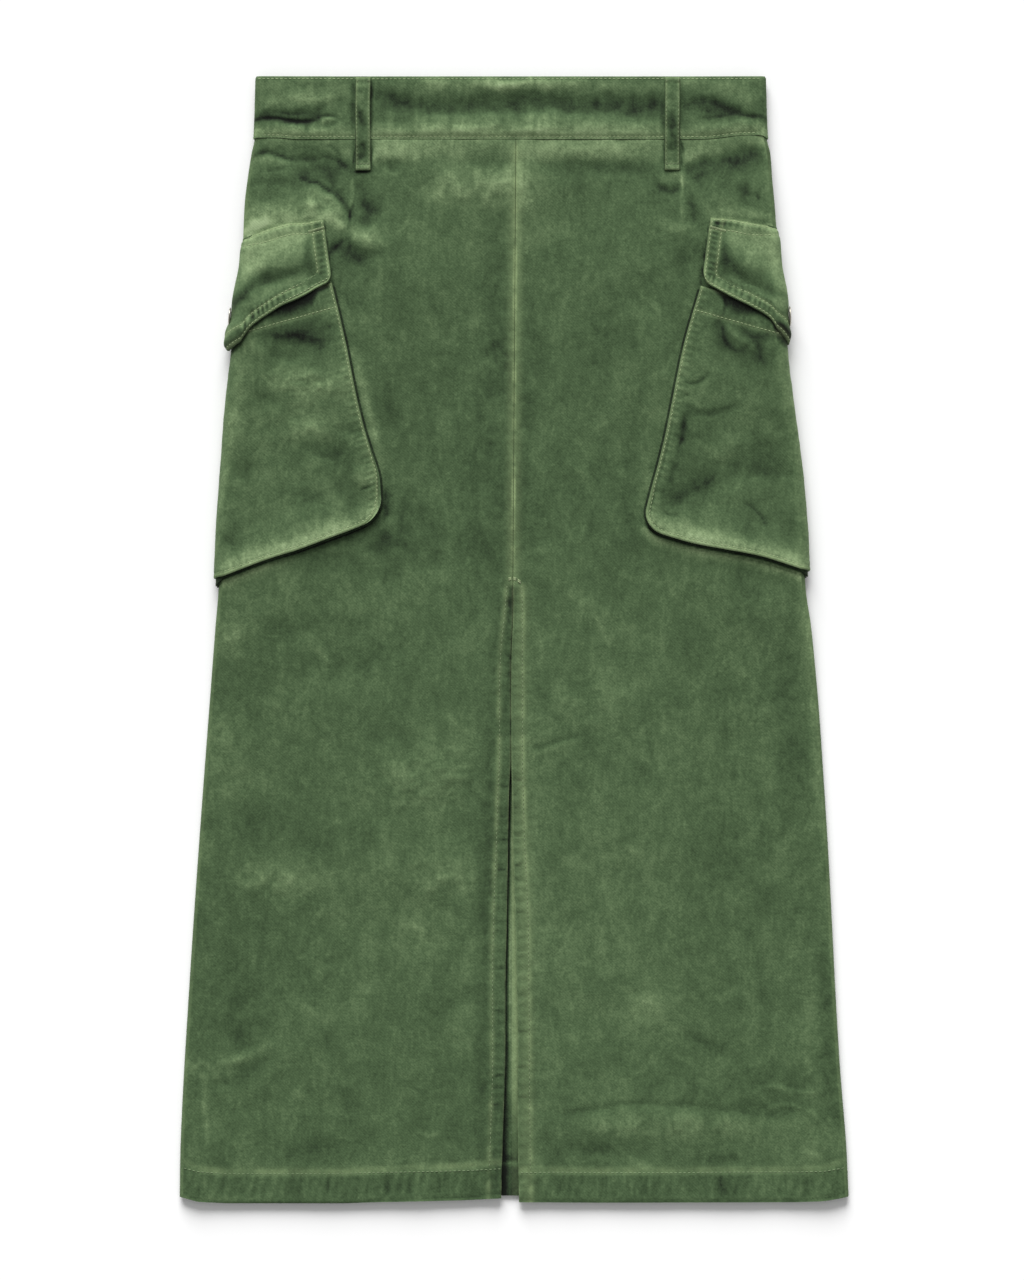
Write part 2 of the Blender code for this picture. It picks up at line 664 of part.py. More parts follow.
def flap_place(side, block, step, row):
    """Place round the skirt, across and fall of one grid point of the flap."""
    fall = FLAP_TURN
    across = 0.0
    s = 0.0
    for _ in range(12):
        if block == "front":
            edge, _ = from_pocket(side, along(FLAP_SIDES, side, fall), fall)
            s = edge + (QUARTER - edge) * step
        elif block == "wrap":
            s = QUARTER * step
        else:
            edge, _ = from_pocket(side, -along(FLAP_SIDES, "back", fall), fall)
            s = -QUARTER + (edge + QUARTER) * step
        across = (s - POCKET_SHIFT[side] - fall * TILT_SIN) / TILT_COS
        top = along(FLAP_EDGES, "top_" + side, abs(across))
        low = along(FLAP_EDGES, "low_" + side, abs(across))
        if row < len(FLAP_UPPER_ROWS):
            turn = min(FLAP_TURN, low - 3.0)
            target = top + (turn - top) * FLAP_UPPER_ROWS[row]
        else:
            turn = min(FLAP_TURN, low - 3.0)
            target = turn + (low - turn) * FLAP_LOWER_ROWS[row - len(FLAP_UPPER_ROWS)]
        fall += (target - fall) * 0.8
    return s, across, fall


def flap(side):
    outer = []
    inner = []
    grid = [("front", step) for step in FLAP_FRONT_STEPS]
    grid += [("wrap", step) for step in WRAP_STEPS]
    grid += [("back", step) for step in FLAP_BACK_STEPS]
    for row in range(len(FLAP_UPPER_ROWS) + len(FLAP_LOWER_ROWS)):
        outer_row = []
        inner_row = []
        for block, step in grid:
            s, across, fall = flap_place(side, block, step, row)
            drop = MOUTH_DROP - across * TILT_SIN + fall * TILT_COS
            under = flap_under(side, across, fall)
            outer_row.append(skirt_point(side, s, drop, under + FLAP_PLIES))
            inner_row.append(skirt_point(side, s, drop, under))
        outer.append(outer_row)
        inner.append(inner_row)
    return wall("flap_" + side, outer, inner, TWILL)


# ------------------------------------------------------------------ hard pieces
def snap(side):
    """Press-stud cap on the flap at the side fold, its face turned out sideways."""
    drop = SNAP_DROP[side]
    sign = SIGN[side]
    seat = PATCH_TOP + 2.0 * SEAM + FLAP_PLIES
    centre = skirt_point(side, 0.0, drop, seat)
    above = skirt_point(side, 0.0, drop - 5.0, seat)
    below = skirt_point(side, 0.0, drop + 5.0, seat)
    slope = math.atan2(below[0] - above[0], above[1] - below[1])
    axis = (sign * math.cos(slope), sign * math.sin(slope))
    run = (-axis[1], axis[0])
    points = []
    for row in CAP_PROFILE:
        for k in range(SNAP_SIDES):
            turn = 2.0 * math.pi * k / SNAP_SIDES
            flat = row.radius * math.cos(turn)
            points.append((centre[0] + axis[0] * row.height + run[0] * flat,
                           centre[1] + axis[1] * row.height + run[1] * flat,
                           centre[2] + row.radius * math.sin(turn)))
    faces = [tuple(range(SNAP_SIDES))]
    for i in range(len(CAP_PROFILE) - 1):
        for k in range(SNAP_SIDES):
            a = i * SNAP_SIDES + k
            b = i * SNAP_SIDES + (k + 1) % SNAP_SIDES
            faces.append((a, b, b + SNAP_SIDES, a + SNAP_SIDES))
    last = (len(CAP_PROFILE) - 1) * SNAP_SIDES
    faces.append(tuple(last + k for k in range(SNAP_SIDES)))
    return solid("snap_" + side, points, faces, METAL, 1.0, 0.35)


def back_zip():
    """Closed concealed zip, a flat strip inside the centre-back seam."""
    near = []
    far = []
    edges = [("left", CENTRE_BACK_X - ZIP_WIDTH / 2.0), ("left", CENTRE_BACK_X),
             ("right", CENTRE_BACK_X + ZIP_WIDTH / 2.0)]
    for drop in ZIP_ROWS:
        for grid, out in ((near, -CLOTH - SEAM), (far, -CLOTH - SEAM - ZIP_THICK)):
            line = [(side, -around(side, x, drop)) for side, x in edges]
            grid.append([skirt_point(side, s, drop, out) for side, s in line])
    return wall("back_zip", near, far, ZIP_TAPE)


for thing in list(bpy.data.objects):
    bpy.data.objects.remove(thing, do_unlink=True)

for hand in ("left", "right"):
    front_panel(hand)
    back_panel(hand)
    waistband_back(hand)
    belt_loop("front", hand)
    belt_loop("back", hand)
    pocket(hand)
    pocket_gusset(hand)
    flap(hand)
    snap(hand)
waistband_front()
back_zip()
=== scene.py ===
"""Looks of the cargo utility skirt: worn brushed cotton laid flat, sewn seams, creases, stitches."""
import math
from collections import namedtuple

import bpy
import numpy as np
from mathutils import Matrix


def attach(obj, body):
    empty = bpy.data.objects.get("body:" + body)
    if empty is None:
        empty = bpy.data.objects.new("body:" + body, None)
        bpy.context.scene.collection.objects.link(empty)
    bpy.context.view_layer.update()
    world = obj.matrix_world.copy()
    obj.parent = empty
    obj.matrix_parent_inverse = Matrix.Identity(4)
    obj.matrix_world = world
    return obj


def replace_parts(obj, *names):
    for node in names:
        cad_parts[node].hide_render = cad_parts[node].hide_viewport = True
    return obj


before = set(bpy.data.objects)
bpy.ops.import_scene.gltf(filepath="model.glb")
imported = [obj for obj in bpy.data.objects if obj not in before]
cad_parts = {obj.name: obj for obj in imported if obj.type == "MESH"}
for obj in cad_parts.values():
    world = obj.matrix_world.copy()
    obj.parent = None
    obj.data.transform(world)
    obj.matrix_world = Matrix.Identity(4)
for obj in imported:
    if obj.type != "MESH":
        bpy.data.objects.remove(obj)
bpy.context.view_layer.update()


def table(names, *rows):
    """Rows of numbers whose columns go by names."""
    kind = namedtuple("Row", names)
    return [kind(*map(float, row)) for row in rows]


# ------------------------------------------------------------------ sizes shared with the solids, mm
LENGTH = 855.0
CLOTH = 1.2
SEAM = 0.3
FOLD_RADIUS = 3.1
MIDDLE_STACK = 5.0
HEM_STACK = 5.5
STACK_REACH = 60.0
BAND_DEPTH = 47.6
BAND_PROUD = 1.0
BAND_LIFT = 3.05
BAND_LIFT_END = 74.0
BAND_LIFT_RAMP = 70.0
HEM_DEPTH = 21.5
BACK_HEM = 849.4
SLIT_TOP = 382.3
SLIT_FACING = 10.5
CENTRE_BACK_X = -1.9
BACK_SEAM = 0.04
LOOP_WIDTH = 11.5
LOOP_PLIES = 1.7
LOOP_X = {"left": -114.7, "right": 120.1}
POCKET_TILT = math.radians(16.0)
MOUTH_DROP = 179.0
POCKET_SHIFT = {"left": -7.0, "right": -7.0}
POCKET_CORNER = 15.0
PATCH_CLOTH = 1.5
PATCH_TOP = 4.2
PATCH_SAG = 1.5
PATCH_LIFT = 4.25
PATCH_REFERENCE = 193.0
FLAP_PLIES = 2.0
FLAP_SEAT = 0.4
FLAP_LIFT = 6.55
FLAP_TURN = -2.0
GUSSET_CLOTH = 0.9
GUSSET_DEPTH = 12.0
GUSSET_PEEK = 1.6
SNAP_DROP = {"left": 183.0, "right": 182.0}
TILT_COS = math.cos(POCKET_TILT)
TILT_SIN = math.sin(POCKET_TILT)
QUARTER = FOLD_RADIUS * math.pi / 2.0
SIGN = {"left": -1.0, "right": 1.0}
SIDES = tuple(SIGN)

# rows of stitches, the zip and how far up the hem's line is felt, mm
ZIP_TAPE = 0.5
ZIP_PLACES = (-12.0, -11.0, -8.0, -5.0, -2.2, -1.6, 0.0, 1.6, 2.2, 5.0, 8.0, 11.0, 12.0)
HEM_STITCH = 22.6
HEM_PULL_FROM = 600.0
LOOP_END = 71.2
MOUTH_STITCH = 18.8
POCKET_STITCH = 3.0
FLAP_OUTER_ROW = 1.8
FLAP_INNER_ROW = 9.6
THREAD_RISE = 0.12

SIDE_FOLDS = table(
    "drop left right",
    (0, -195.2, 190.2), (47.9, -196.9, 191.9), (58, -199, 194.4), (78, -202, 195.8), (98, -204.2, 197.6),
    (150, -206.3, 201.2), (200, -209.6, 202.6), (245, -214.8, 208), (300, -219.2, 215.4),
    (345, -222.4, 219), (390, -224.2, 221.4), (417, -226.5, 225.4), (474, -231, 231), (531, -235.4, 235),
    (588, -239.6, 238.6), (645, -243.6, 241.6), (702, -247.2, 244.4), (759, -250.6, 247.8),
    (815, -253.2, 252.2), (855, -253.9, 254.1),
)
FRONT_EDGES = table(
    "drop left right",
    (0, 1.65, 1.95), (382, -0.95, -0.65), (407, -0.95, -0.6), (442, -2.4, -2), (519, -2.6, -2),
    (543, -3.8, -1.4), (588, -4.6, -0.6), (641, -5.5, 1), (685, -6.4, 1.9), (717, -6.5, 2.7),
    (758, -6.8, 2.7), (797, -8.1, 2.8), (835, -9.3, 3.4), (855, -9.65, 3.8),
)
FRONT_HEM = table(
    "x drop",
    (-254, 850), (-240, 853.8), (-219, 855), (-128, 855), (-105, 854.2), (-71, 853.5), (-37, 852.7),
    (-9.6, 851.2), (3.8, 854.2), (65, 854.6), (213, 854.2), (235, 853.4), (248, 851.2), (254.2, 849.8),
)
PATCH_SIDES = table(
    "fall left right back",
    (0, 80.5, 71.6, 80), (35, 81, 72.6, 80), (75, 82, 74.2, 80), (115, 83.4, 76, 80), (145, 85.2, 78.4, 80),
    (160, 85.4, 79.6, 80), (178, 82.8, 80.4, 80), (200, 80.4, 80.6, 80),
)
PATCH_BOTTOM = table(
    "across left right",
    (-85, 196, 191), (-50, 196, 190.5), (-15, 193, 189.2), (0, 192.2, 190), (15, 191.9, 191.5),
    (40, 189.8, 193.8), (62, 187.8, 193.7), (86, 184.6, 192.4),
)
FLAP_SIDES = table(
    "fall left right back",
    (-60, 87.4, 76.4, 85), (-30, 83.8, 74.2, 83), (-10, 81.8, 72.4, 81), (30, 78.6, 70.4, 79.5),
)
FLAP_EDGES = table(
    "across top_left low_left top_right low_right",
    (0, -50, 31, -60, 26), (3.5, -50, 27, -60, 22), (8, -50, 22, -60, 15.8), (15, -50, 16.2, -60, 9.6),
    (30, -51.6, 10.2, -59, 5.2), (46, -53, 5.4, -57.2, 2.2), (60, -53, 2.6, -56, -1),
    (68, -51, 0.2, -54.4, -3.2), (73, -50, -0.8, -53.4, -7), (79, -49.4, -1.9, -53, -10),
    (88, -49, -6, -53, -12),
)
SOFT_FOLDS = table(
    "x drop length width turn height",
    (5, 20, 95, 9, 0, -0.9), (5, 36, 95, 9, 0, 0.5), (10, 67, 70, 10, 0, -0.6), (-172, 62, 34, 8, 8, -0.8),
    (-140, 82, 24, 8, 38, -0.6), (172, 62, 30, 8, -8, -0.8), (-90, 110, 45, 22, 80, 0.8),
    (100, 112, 45, 22, -80, 0.7), (-110, 600, 60, 26, 4, 0.8), (-50, 600, 40, 24, -4, 0.6),
    (90, 785, 75, 22, -6, 0.7), (90, 815, 70, 14, 4, -0.5), (150, 470, 90, 30, 12, 0.5),
    (-140, 480, 90, 30, -20, 0.5),
)
LOOP_ROWS = table(
    "drop front back",
    (1, 1.3, 1.3), (5, 1.3, 1.3), (14, 1.9, 1.3), (26, 2.3, 1.3), (38, 2.1, 1.3), (49.5, 1.6, 1.3),
    (56, 0.8, 0.8), (61.5, 0.3, 0.3), (72, 0.3, 0.3),
)

# ------------------------------------------------------------------ strokes of tone and height
# x runs across from the skirt's middle and drop down from the waist edge, both in mm. A stroke runs
# through three places. width is how far it reaches, tone makes the cloth lighter or darker and
# height raises or sinks it. The tone is partly the dye's own patches and partly painted light:
# painted shade along creases and hollows, painted highlights on rises, painted shadow in gaps.
TONE_GAIN = 2.3
STROKE = "x1 drop1 x2 drop2 x3 drop3 width tone height"
FRONT_STROKES = table(
    STROKE,
    (35, 475, 50.2, 485.6, 66.9, 490.2, 10, .05, .1),
    (170.2, 786.6, 190.8, 785.1, 211.3, 782, 7, -.08, -.2),
    (221.9, 473.5, 226.5, 549.5, 232.6, 625.5, 10, -.04, 0),
    (232.6, 655.9, 238.6, 716.7, 243.2, 792.7, 8, -.04, 0),
    (-10.6, 116.3, 12.2, 120.8, 35, 117.8, 10, .03, 0),
    (80.6, 151.2, 95.8, 161.9, 111, 169.5, 14, -.06, -.1),
    (62.3, 184.7, 80.6, 192.3, 95.8, 207.5, 14, -.04, -.1),
    (-25.8, 207.5, -10.6, 212, 7.6, 216.6, 10, -.05, -.1),
    (-97.3, 40.3, -56.2, 45.6, -10.6, 45.6, 4, .02, 0),
    (-89.7, 321.5, -83.6, 336.7, -86.6, 359.5, 12, -.08, -.1),
    (-68.4, 336.7, -59.3, 348.1, -63.8, 364, 12, -.07, -.1),
    (-18.2, 192.3, -21.3, 275.9, -18.2, 367.1, 22, -.055, -.1),
    (4.6, 245.5, 4.6, 306.3, 3, 374.7, 9, -.05, -.1), (95.8, 275.9, 98.8, 298.7, 97.3, 329.1, 9, .06, .1),
    (114, 199.9, 111, 245.5, 104.9, 283.5, 8, .02, 0),
    (60.8, 192.3, 65.4, 207.5, 68.4, 224.2, 12, -.06, -.1),
    (-127.7, 126.9, -123.1, 136, -117, 145.2, 9, -.06, -.1), (-79, 93.5, -33.4, 92, 12.2, 98, 9, .07, .1),
    (168.7, 131.5, 187, 133, 199.1, 140.6, 7, .06, .1),
    (202.2, 192.3, 211.3, 199.9, 214.3, 209, 5, .06, .1),
    (171.8, 771.4, 209.8, 766.8, 241.7, 776, 14, -.085, -.1),
    (-155, 443.1, -128.4, 449.2, -107.9, 443.1, 14, -.05, -.1),
    (-86.6, 513, -77.5, 516, -68.4, 513, 10, -.06, -.1),
    (-155, 648.3, -139.8, 671.1, -150.5, 695.4, 16, -.05, -.1),
    (209.8, 427.9, 209.8, 519.1, 214.3, 595.1, 10, -.045, 0),
    (31.9, 465.9, 65.4, 473.5, 95.8, 465.9, 12, .04, .1),
    (35, 765.3, 50.2, 771.4, 65.4, 786.6, 12, .05, .1),
    (-56.2, 792.7, -33.4, 804.1, -10.6, 800.3, 12, -.04, 0),
    (-132.2, 739.5, -123.1, 762.3, -132.2, 785.1, 14, -.04, 0),
    (232.6, 625.5, 237.1, 701.5, 243.2, 777.5, 6, -.03, 0),
    (209.8, 693.9, 211.3, 709.1, 212.8, 724.3, 8, -.04, 0), (-10.6, 402, 4.6, 396, 19.8, 403.6, 8, -.04, 0),
    (-155, 67.6, -142.9, 72.2, -133.8, 82.8, 8, -.07, -.1), (-41, 60, -16.7, 63.1, -1.5, 60, 9, -.05, 0),
    (111, 625.5, 123.1, 624, 133.8, 630, 10, .04, 0),
    (-200.6, 715.2, -191.5, 719.7, -182.4, 724.3, 8, -.04, 0),
    (-9.9, 537.3, -7.6, 538.1, -4.6, 538.8, .9, -.108, -.24),
    (-11.4, 560.9, -8.4, 561.3, -4.6, 561.6, .9, -.079, -.24),
    (-10.6, 578.4, -7.6, 579.1, -4.6, 579.9, .9, -.144, -.3),
    (-12.9, 601.9, -9.1, 601.9, -5.3, 602.7, .9, -.151, -.3),
    (-12.9, 619.4, -9.9, 619.4, -6.1, 620.2, .9, -.094, -.24),
    (-14.4, 648.3, -10.6, 649, -6.8, 649.8, .9, -.108, -.24),
    (-15.2, 677.2, -11.4, 677.2, -7.6, 677.9, .9, -.108, -.24),
    (-16, 709.1, -12.2, 710.6, -7.6, 710.6, .9, -.108, -.24),
    (-16, 736.4, -12.2, 737.2, -8.4, 736.4, .9, -.094, -.24),
    (-13.7, 760, -11.4, 760.4, -8.4, 760, .9, -.14, -.3),
    (-16, 769.9, -12.2, 769.1, -8.4, 770.6, .9, -.086, -.24),
    (-16.7, 782.8, -13.7, 782.8, -9.9, 782, .9, -.086, -.24),
    (-.8, 532.8, 3, 533.5, 8.4, 533.5, .9, -.14, -.24), (-.8, 544.9, 1.5, 545.7, 4.6, 545.7, .9, -.1, -.18),
    (0, 554.8, 2.3, 554.8, 5.3, 555.2, .9, -.13, -.24), (0, 574.6, 2.3, 575.3, 6.1, 575.3, .9, -.18, -.3),
    (0, 598.9, 3.8, 598.1, 7.6, 595.8, .9, -.18, -.3), (0, 608, 2.3, 608.8, 4.6, 609.5, .9, -.13, -.24),
    (1.5, 634.6, 4.6, 633.8, 9.1, 634.6, .9, -.12, -.24),
    (2.3, 663.5, 5.3, 662.7, 10.6, 663.5, .9, -.12, -.24),
    (3, 698.4, 6.8, 697.7, 10.6, 698.4, .9, -.12, -.24), (3, 724.3, 6.8, 725, 10.6, 724.3, .9, -.12, -.24),
    (3, 752.4, 6.1, 751.6, 9.1, 751.6, .9, -.13, -.24), (3, 774.4, 6.1, 775.2, 10.6, 774.4, .9, -.11, -.24),
    (-4.6, 397.5, -3.8, 400.5, -2.3, 402, .9, -.126, -.24),
    (-5.3, 411.2, -3.8, 413.4, -1.5, 414.2, .9, -.126, -.24),
    (-5.3, 424.8, -3, 426.4, -.8, 427.9, .9, -.108, -.24),
    (-5.3, 438.5, -3.8, 440.8, -1.5, 441.6, .9, -.108, -.24),
    (-4.6, 452.2, -3, 453.7, -1.5, 456, .9, -.094, -.24),
    (-4.6, 465.9, -3, 467.4, -1.5, 468.9, .9, -.094, -.24),
    (-149, 66.1, -139.8, 69.2, -133.8, 76.8, 5, -.08, -.2),
    (-63.8, 64.6, -25.8, 64.6, -1.5, 65.4, 4, -.06, -.1),
    (97.3, 64.6, 104.9, 69.2, 107.9, 63.1, 5, -.05, -.2), (171.8, 55.5, 183.2, 60, 193, 57, 5, -.09, -.2),
    (117, 63.1, 133.8, 61.6, 139.8, 57, 4, .08, .2), (120.1, 75.2, 132.2, 79.8, 133.8, 72.2, 4, .05, .1),
    (-142.9, 107.2, -135.3, 111.7, -130.7, 117.8, 5, .14, .2),
    (-123.1, 107.2, -115.5, 110.2, -107.9, 111.7, 4, -.12, -.2),
    (-118.6, 90.4, -111, 98, -104.9, 104.1, 4, -.06, -.2),
    (141.4, 128.4, 144.4, 140.6, 141.4, 151.2, 2, -.1, -.2),
    (-198.4, 61.6, -191.5, 58.9, -183.9, 58.1, 1.8, -.2, -.5),
    (-183.9, 58.1, -177.1, 60.8, -168.7, 62.3, 1.6, -.2, -.5),
    (-168.7, 61.9, -153.5, 61.6, -141.4, 60.8, 2.4, -.13, -.35),
    (-142.9, 60.8, -133.8, 63.8, -127.7, 69.9, 2.4, -.18, -.45),
    (-130, 66.1, -126.2, 70.7, -123.1, 75.2, 2.4, -.1, -.3),
    (-196.1, 54.7, -162.6, 55.5, -135.3, 55.5, 5, -.09, -.1),
    (-141.4, 51.7, -136, 54.7, -130.7, 60.8, 1.2, -.13, -.3),
    (-194.6, 65.4, -183.9, 63.5, -173.3, 66.9, 3, .05, .2),
    (-191.5, 71.4, -179.4, 71.1, -171.8, 68.4, 1.1, -.1, -.2),
    (-164.2, 70.7, -156.6, 74.5, -153.5, 79, 4, -.08, -.3),
    (-162.6, 75.2, -155.8, 79.8, -149, 79.4, 1.5, -.15, -.3),
    (-149, 79.8, -144.4, 83.6, -139.1, 87.4, 1.2, -.22, -.45),
    (-142.1, 85.9, -134.5, 89.7, -130, 95.8, 2.4, -.15, -.4),
    (-133.8, 92, -127.7, 98.8, -124.6, 106.4, 1.9, -.18, -.4),
    (-142.1, 75.2, -136, 81.3, -130.7, 90.4, 3.5, -.1, -.3),
    (-156.6, 85.9, -145.9, 90.4, -136.8, 96.5, 5, .1, .3),
    (-161.1, 99.6, -142.9, 98.8, -130.7, 107.2, 9, .1, .3),
    (-203.7, 105.6, -183.9, 101.8, -162.6, 103.4, 9, .13, .2),
    (-200.6, 120.8, -191.5, 114, -176.3, 110.2, 3, .16, .1),
    (-176.3, 110.2, -162.6, 107.9, -146.7, 105.6, 2.4, .12, .1),
    (-200.6, 81.3, -177.8, 79.8, -155, 84.4, 3, -.05, -.1),
    (-199.1, 92, -173.3, 90.4, -162.6, 93.5, 3, -.05, -.1),
    (-122.4, 78.3, -122.7, 88.2, -123.5, 98.8, .8, .2, .3),
    (-121.6, 96.5, -124.3, 105.6, -125.4, 114, .8, -.2, -.45),
    (-125.2, 113.2, -125.8, 122.4, -125, 131.5, .9, -.1, -.3),
    (-162.6, 93.5, -152, 102.6, -138.3, 111.7, 7, .08, .2),
    (-140.6, 133.8, -135.3, 129.2, -130, 123.9, 2.6, -.2, -.5),
    (-126.9, 126.9, -120.8, 136, -111.7, 145.2, 6, -.09, -.2),
    (-117, 78.3, -114.8, 84.4, -112.5, 90.4, 6, -.09, -.25),
    (-117, 96.5, -114, 102.6, -109.4, 108.7, 6, -.05, -.12),
    (-106.4, 88.9, -103.4, 98, -101.8, 105.6, 5, -.08, -.2),
    (-119.3, 117.8, -112.5, 123.9, -105.6, 129.2, 7, .03, .1),
    (-115.5, 84.4, -112.5, 95, -111, 105.6, 6, -.06, -.15),
    (-112.5, 98, -107.9, 100.3, -104.1, 99.6, 5, -.07, -.2),
    (-104.9, 61.6, -98.8, 64.6, -92.7, 63.1, 4, -.09, -.2), (-73, 70.7, -33.4, 76.8, 6.1, 78.3, 7, .04, .1),
    (-63.8, 85.9, -25.8, 81.3, 19.8, 85.9, 13, .1, .1), (95.8, 55.5, 104.9, 57, 111, 53.2, 5, -.08, -.2),
    (130.7, 73, 136, 66.1, 145.9, 63.1, 4, -.12, -.3),
    (141.4, 66.1, 153.5, 64.2, 165.7, 64.6, 5, -.12, -.35),
    (162.6, 64.6, 174.8, 63.1, 187, 59.3, 5, -.12, -.3),
    (159.6, 67.6, 174.8, 66.9, 188.5, 66.9, 4, -.05, -.1),
    (141.4, 71.4, 168, 69.9, 193, 67.6, 7, -.07, -.2),
    (139.1, 67.6, 139.1, 73.7, 141.4, 80.6, 6, -.12, -.3),
    (176.3, 81.3, 177.1, 87.4, 176.3, 92, 3, -.13, -.25),
    (183.9, 88.2, 184.7, 91.2, 185.4, 94.2, 1.3, -.14, -.2),
    (167.2, 85.9, 174.8, 88.9, 180.1, 93.5, 4.5, -.08, -.2),
    (143.6, 98, 156.6, 92.7, 168.7, 97.3, 8, .05, .15),
    (150.5, 104.9, 173.3, 103.4, 199.1, 110.2, 3.5, .1, .1),
    (127.3, 74.5, 127.3, 92, 127.7, 110.2, .8, .17, .3),
    (133, 92.7, 135.3, 97.3, 136.8, 101.8, 4, -.16, -.35),
    (135.3, 102.6, 136.8, 106.4, 138.3, 109.4, 5, -.14, -.3),
    (107.2, 80.6, 114, 85.9, 120.1, 86.6, 3, -.14, -.4),
    (119.3, 86.6, 123.1, 85.1, 123.9, 81.3, 2.6, -.1, -.3),
    (-121.2, 48.6, -121.2, 59.3, -121.2, 70.7, 1, -.25, -.2),
    (-108.7, 48.6, -108.7, 59.3, -108.7, 71.4, 1, -.32, -.2),
    (-120.8, 72.2, -115.5, 72.5, -109.4, 72.2, 1, -.3, -.2),
    (114, 49.4, 114, 60, 114.4, 69.2, 1, -.22, -.2), (127.3, 49.4, 127.3, 57, 126.9, 67.6, 1, -.25, -.2),
    (114, 71.1, 120.8, 71.1, 126.9, 70.7, 1, -.2, -.2),
    (-120.8, 120.8, -114, 121.6, -105.6, 122.4, 8, .09, .3),
    (-138.3, 126.9, -118.6, 137.6, -100.3, 135.3, 4, -.09, -.3),
    (-105.6, 55.5, -85.1, 54.7, -62.3, 56.2, 7, .07, .2),
    (-103.4, 67.6, -93.5, 67.6, -83.6, 67.6, 4.5, -.07, -.3),
    (-12.2, 97.3, -12.9, 146.7, -11.4, 203.7, 11, -.05, -.1),
    (12.2, 55.5, 61.6, 54.7, 111, 55.5, 7, .06, .2), (19.8, 66.9, 57.8, 66.9, 101.8, 67.6, 4.5, -.08, -.35),
    (106.4, 76, 110.2, 76.8, 114, 78.3, 4, .08, .1), (114, 117, 123.1, 116.3, 133.8, 117, 6, .07, .2),
    (129.2, 130.7, 129.2, 138.3, 127.7, 146.7, 7, -.07, -.2),
    (101.8, 169.5, 107.9, 175.6, 113.2, 180.9, 2.5, .055, .15),
    (11.4, 161.9, 12.9, 178.6, 12.2, 197.6, 4, -.07, -.1),
    (11.4, 236.4, 12.9, 253.1, 12.2, 269, 5, -.07, -.1),
    (-123.9, 207.5, -114.8, 241.7, -106.4, 279.7, 3, .06, .1),
    (92, 268.3, 88.2, 306.3, 86.6, 346.6, 9, -.06, -.2),
    (44.8, 294.1, 53.2, 301.7, 60.8, 310.1, 2, .055, .15),
    (39.5, 338.2, 47.1, 354.2, 54.7, 337.4, 1.8, .05, .1),
    (80.6, 377.7, 87.4, 380, 93.5, 382.3, 2.5, .05, .1),
    (-217.4, 408.9, -215.1, 425.6, -215.8, 443.1, 16, .07, .1),
    (-220.4, 484.9, -217.4, 516.8, -218.9, 549.5, 17, .06, .1),
    (-189.2, 421.8, -177.1, 421, -164.2, 421.8, 11, -.06, -.2),
    (-149, 434, -143.6, 439.3, -139.1, 445.4, 2, .05, .1),
    (-69.9, 420.3, -70.7, 427.1, -69.2, 434, 1.8, .044, .1),
    (-185.4, 476.5, -180.1, 478, -174.8, 480.3, 2, .044, .1),
    (-50.2, 484.9, -44.8, 490.2, -39.5, 495.5, 1.8, .05, .1),
    (-114, 541.9, -108.7, 543.4, -104.1, 546.4, 2, .044, .1),
    (-114.8, 500.1, -94.2, 499.3, -74.5, 501.6, 8, -.05, -.2),
    (-212, 560.9, -200.6, 568.5, -187, 576.1, 13, -.05, -.1),
    (-160.4, 585.2, -149.7, 584.4, -139.1, 586, 8, -.05, -.1),
    (-94.2, 532.8, -63.8, 531.2, -35, 534.3, 26, .045, .2),
    (-208.2, 607.2, -175.6, 606.5, -141.4, 608, 18, .045, .1),
    (-77.5, 605, -52.4, 604.2, -25.8, 605.7, 20, .04, .1),
    (-211.3, 663.5, -209.8, 697.7, -211.3, 731.9, 18, -.05, -.1),
    (-156.6, 706, -149, 712.1, -141.4, 717.4, 2, .044, .1),
    (-224.2, 748.6, -203.7, 743.3, -185.4, 734.9, 4, .1, .3),
    (-227.2, 768.4, -204.4, 754.7, -185.4, 744.8, 5, -.08, -.3),
    (-234.1, 757, -234.1, 781.3, -233.3, 804.8, 2, .066, .1),
    (-244, 756.2, -235.6, 748.6, -227.2, 756.2, 1.6, .055, .1),
    (-166.4, 767.6, -161.9, 772.9, -157.3, 777.5, 2.5, .044, .1),
    (-79, 643, -73, 646, -66.9, 649.8, 1.5, .066, .1), (-73.7, 801, -63.8, 804.8, -54, 801, 1.6, .055, .1),
    (59.3, 405.8, 66.1, 418.8, 70.7, 431.7, 1.3, .066, .1),
    (12.9, 510, 31.2, 505.4, 48.6, 500.1, 1.6, -.063, -.25),
    (14.4, 513.8, 31.9, 509.2, 50.2, 503.9, 2, .033, .1),
    (67.6, 465.9, 68.4, 500.1, 67.6, 535.8, 9, -.035, -.1),
    (228, 412.7, 231, 488.7, 235.6, 572.3, 6, .015, 0),
    (202.2, 408.9, 202.2, 465.9, 202.2, 522.9, 11, -.035, -.1),
    (65.4, 646, 65.4, 655.9, 65.4, 665, 3, .07, .1), (83.6, 582.9, 88.2, 586, 93.5, 589, 3, .07, .1),
    (40.3, 726.6, 44.1, 729.6, 48.6, 732.6, 5, .07, .1),
    (132.2, 728.1, 150.5, 737.2, 168.7, 746.3, 4, -.07, -.2),
    (36.5, 790.4, 95.8, 780.5, 167.2, 785.1, 2.5, -.035, -.3),
    (65.4, 797.2, 118.6, 792.7, 179.4, 798.8, 9, .04, .2), (35, 815.5, 57, 814, 79, 816.2, 5, -.06, -.2),
    (136.8, 822.3, 153.5, 822.3, 170.2, 823.1, 4, -.07, -.2),
    (176.3, 777.5, 194.6, 766.8, 213.6, 776, 1.8, .066, .25),
    (187, 788.9, 206, 780.5, 231, 791.2, 1.8, .055, .25),
    (202.2, 766.1, 221.2, 772.2, 233.3, 768.4, 1.6, .055, .2),
    (236.4, 800.3, 239.4, 792.7, 242.4, 800.3, 1.2, .066, .1),
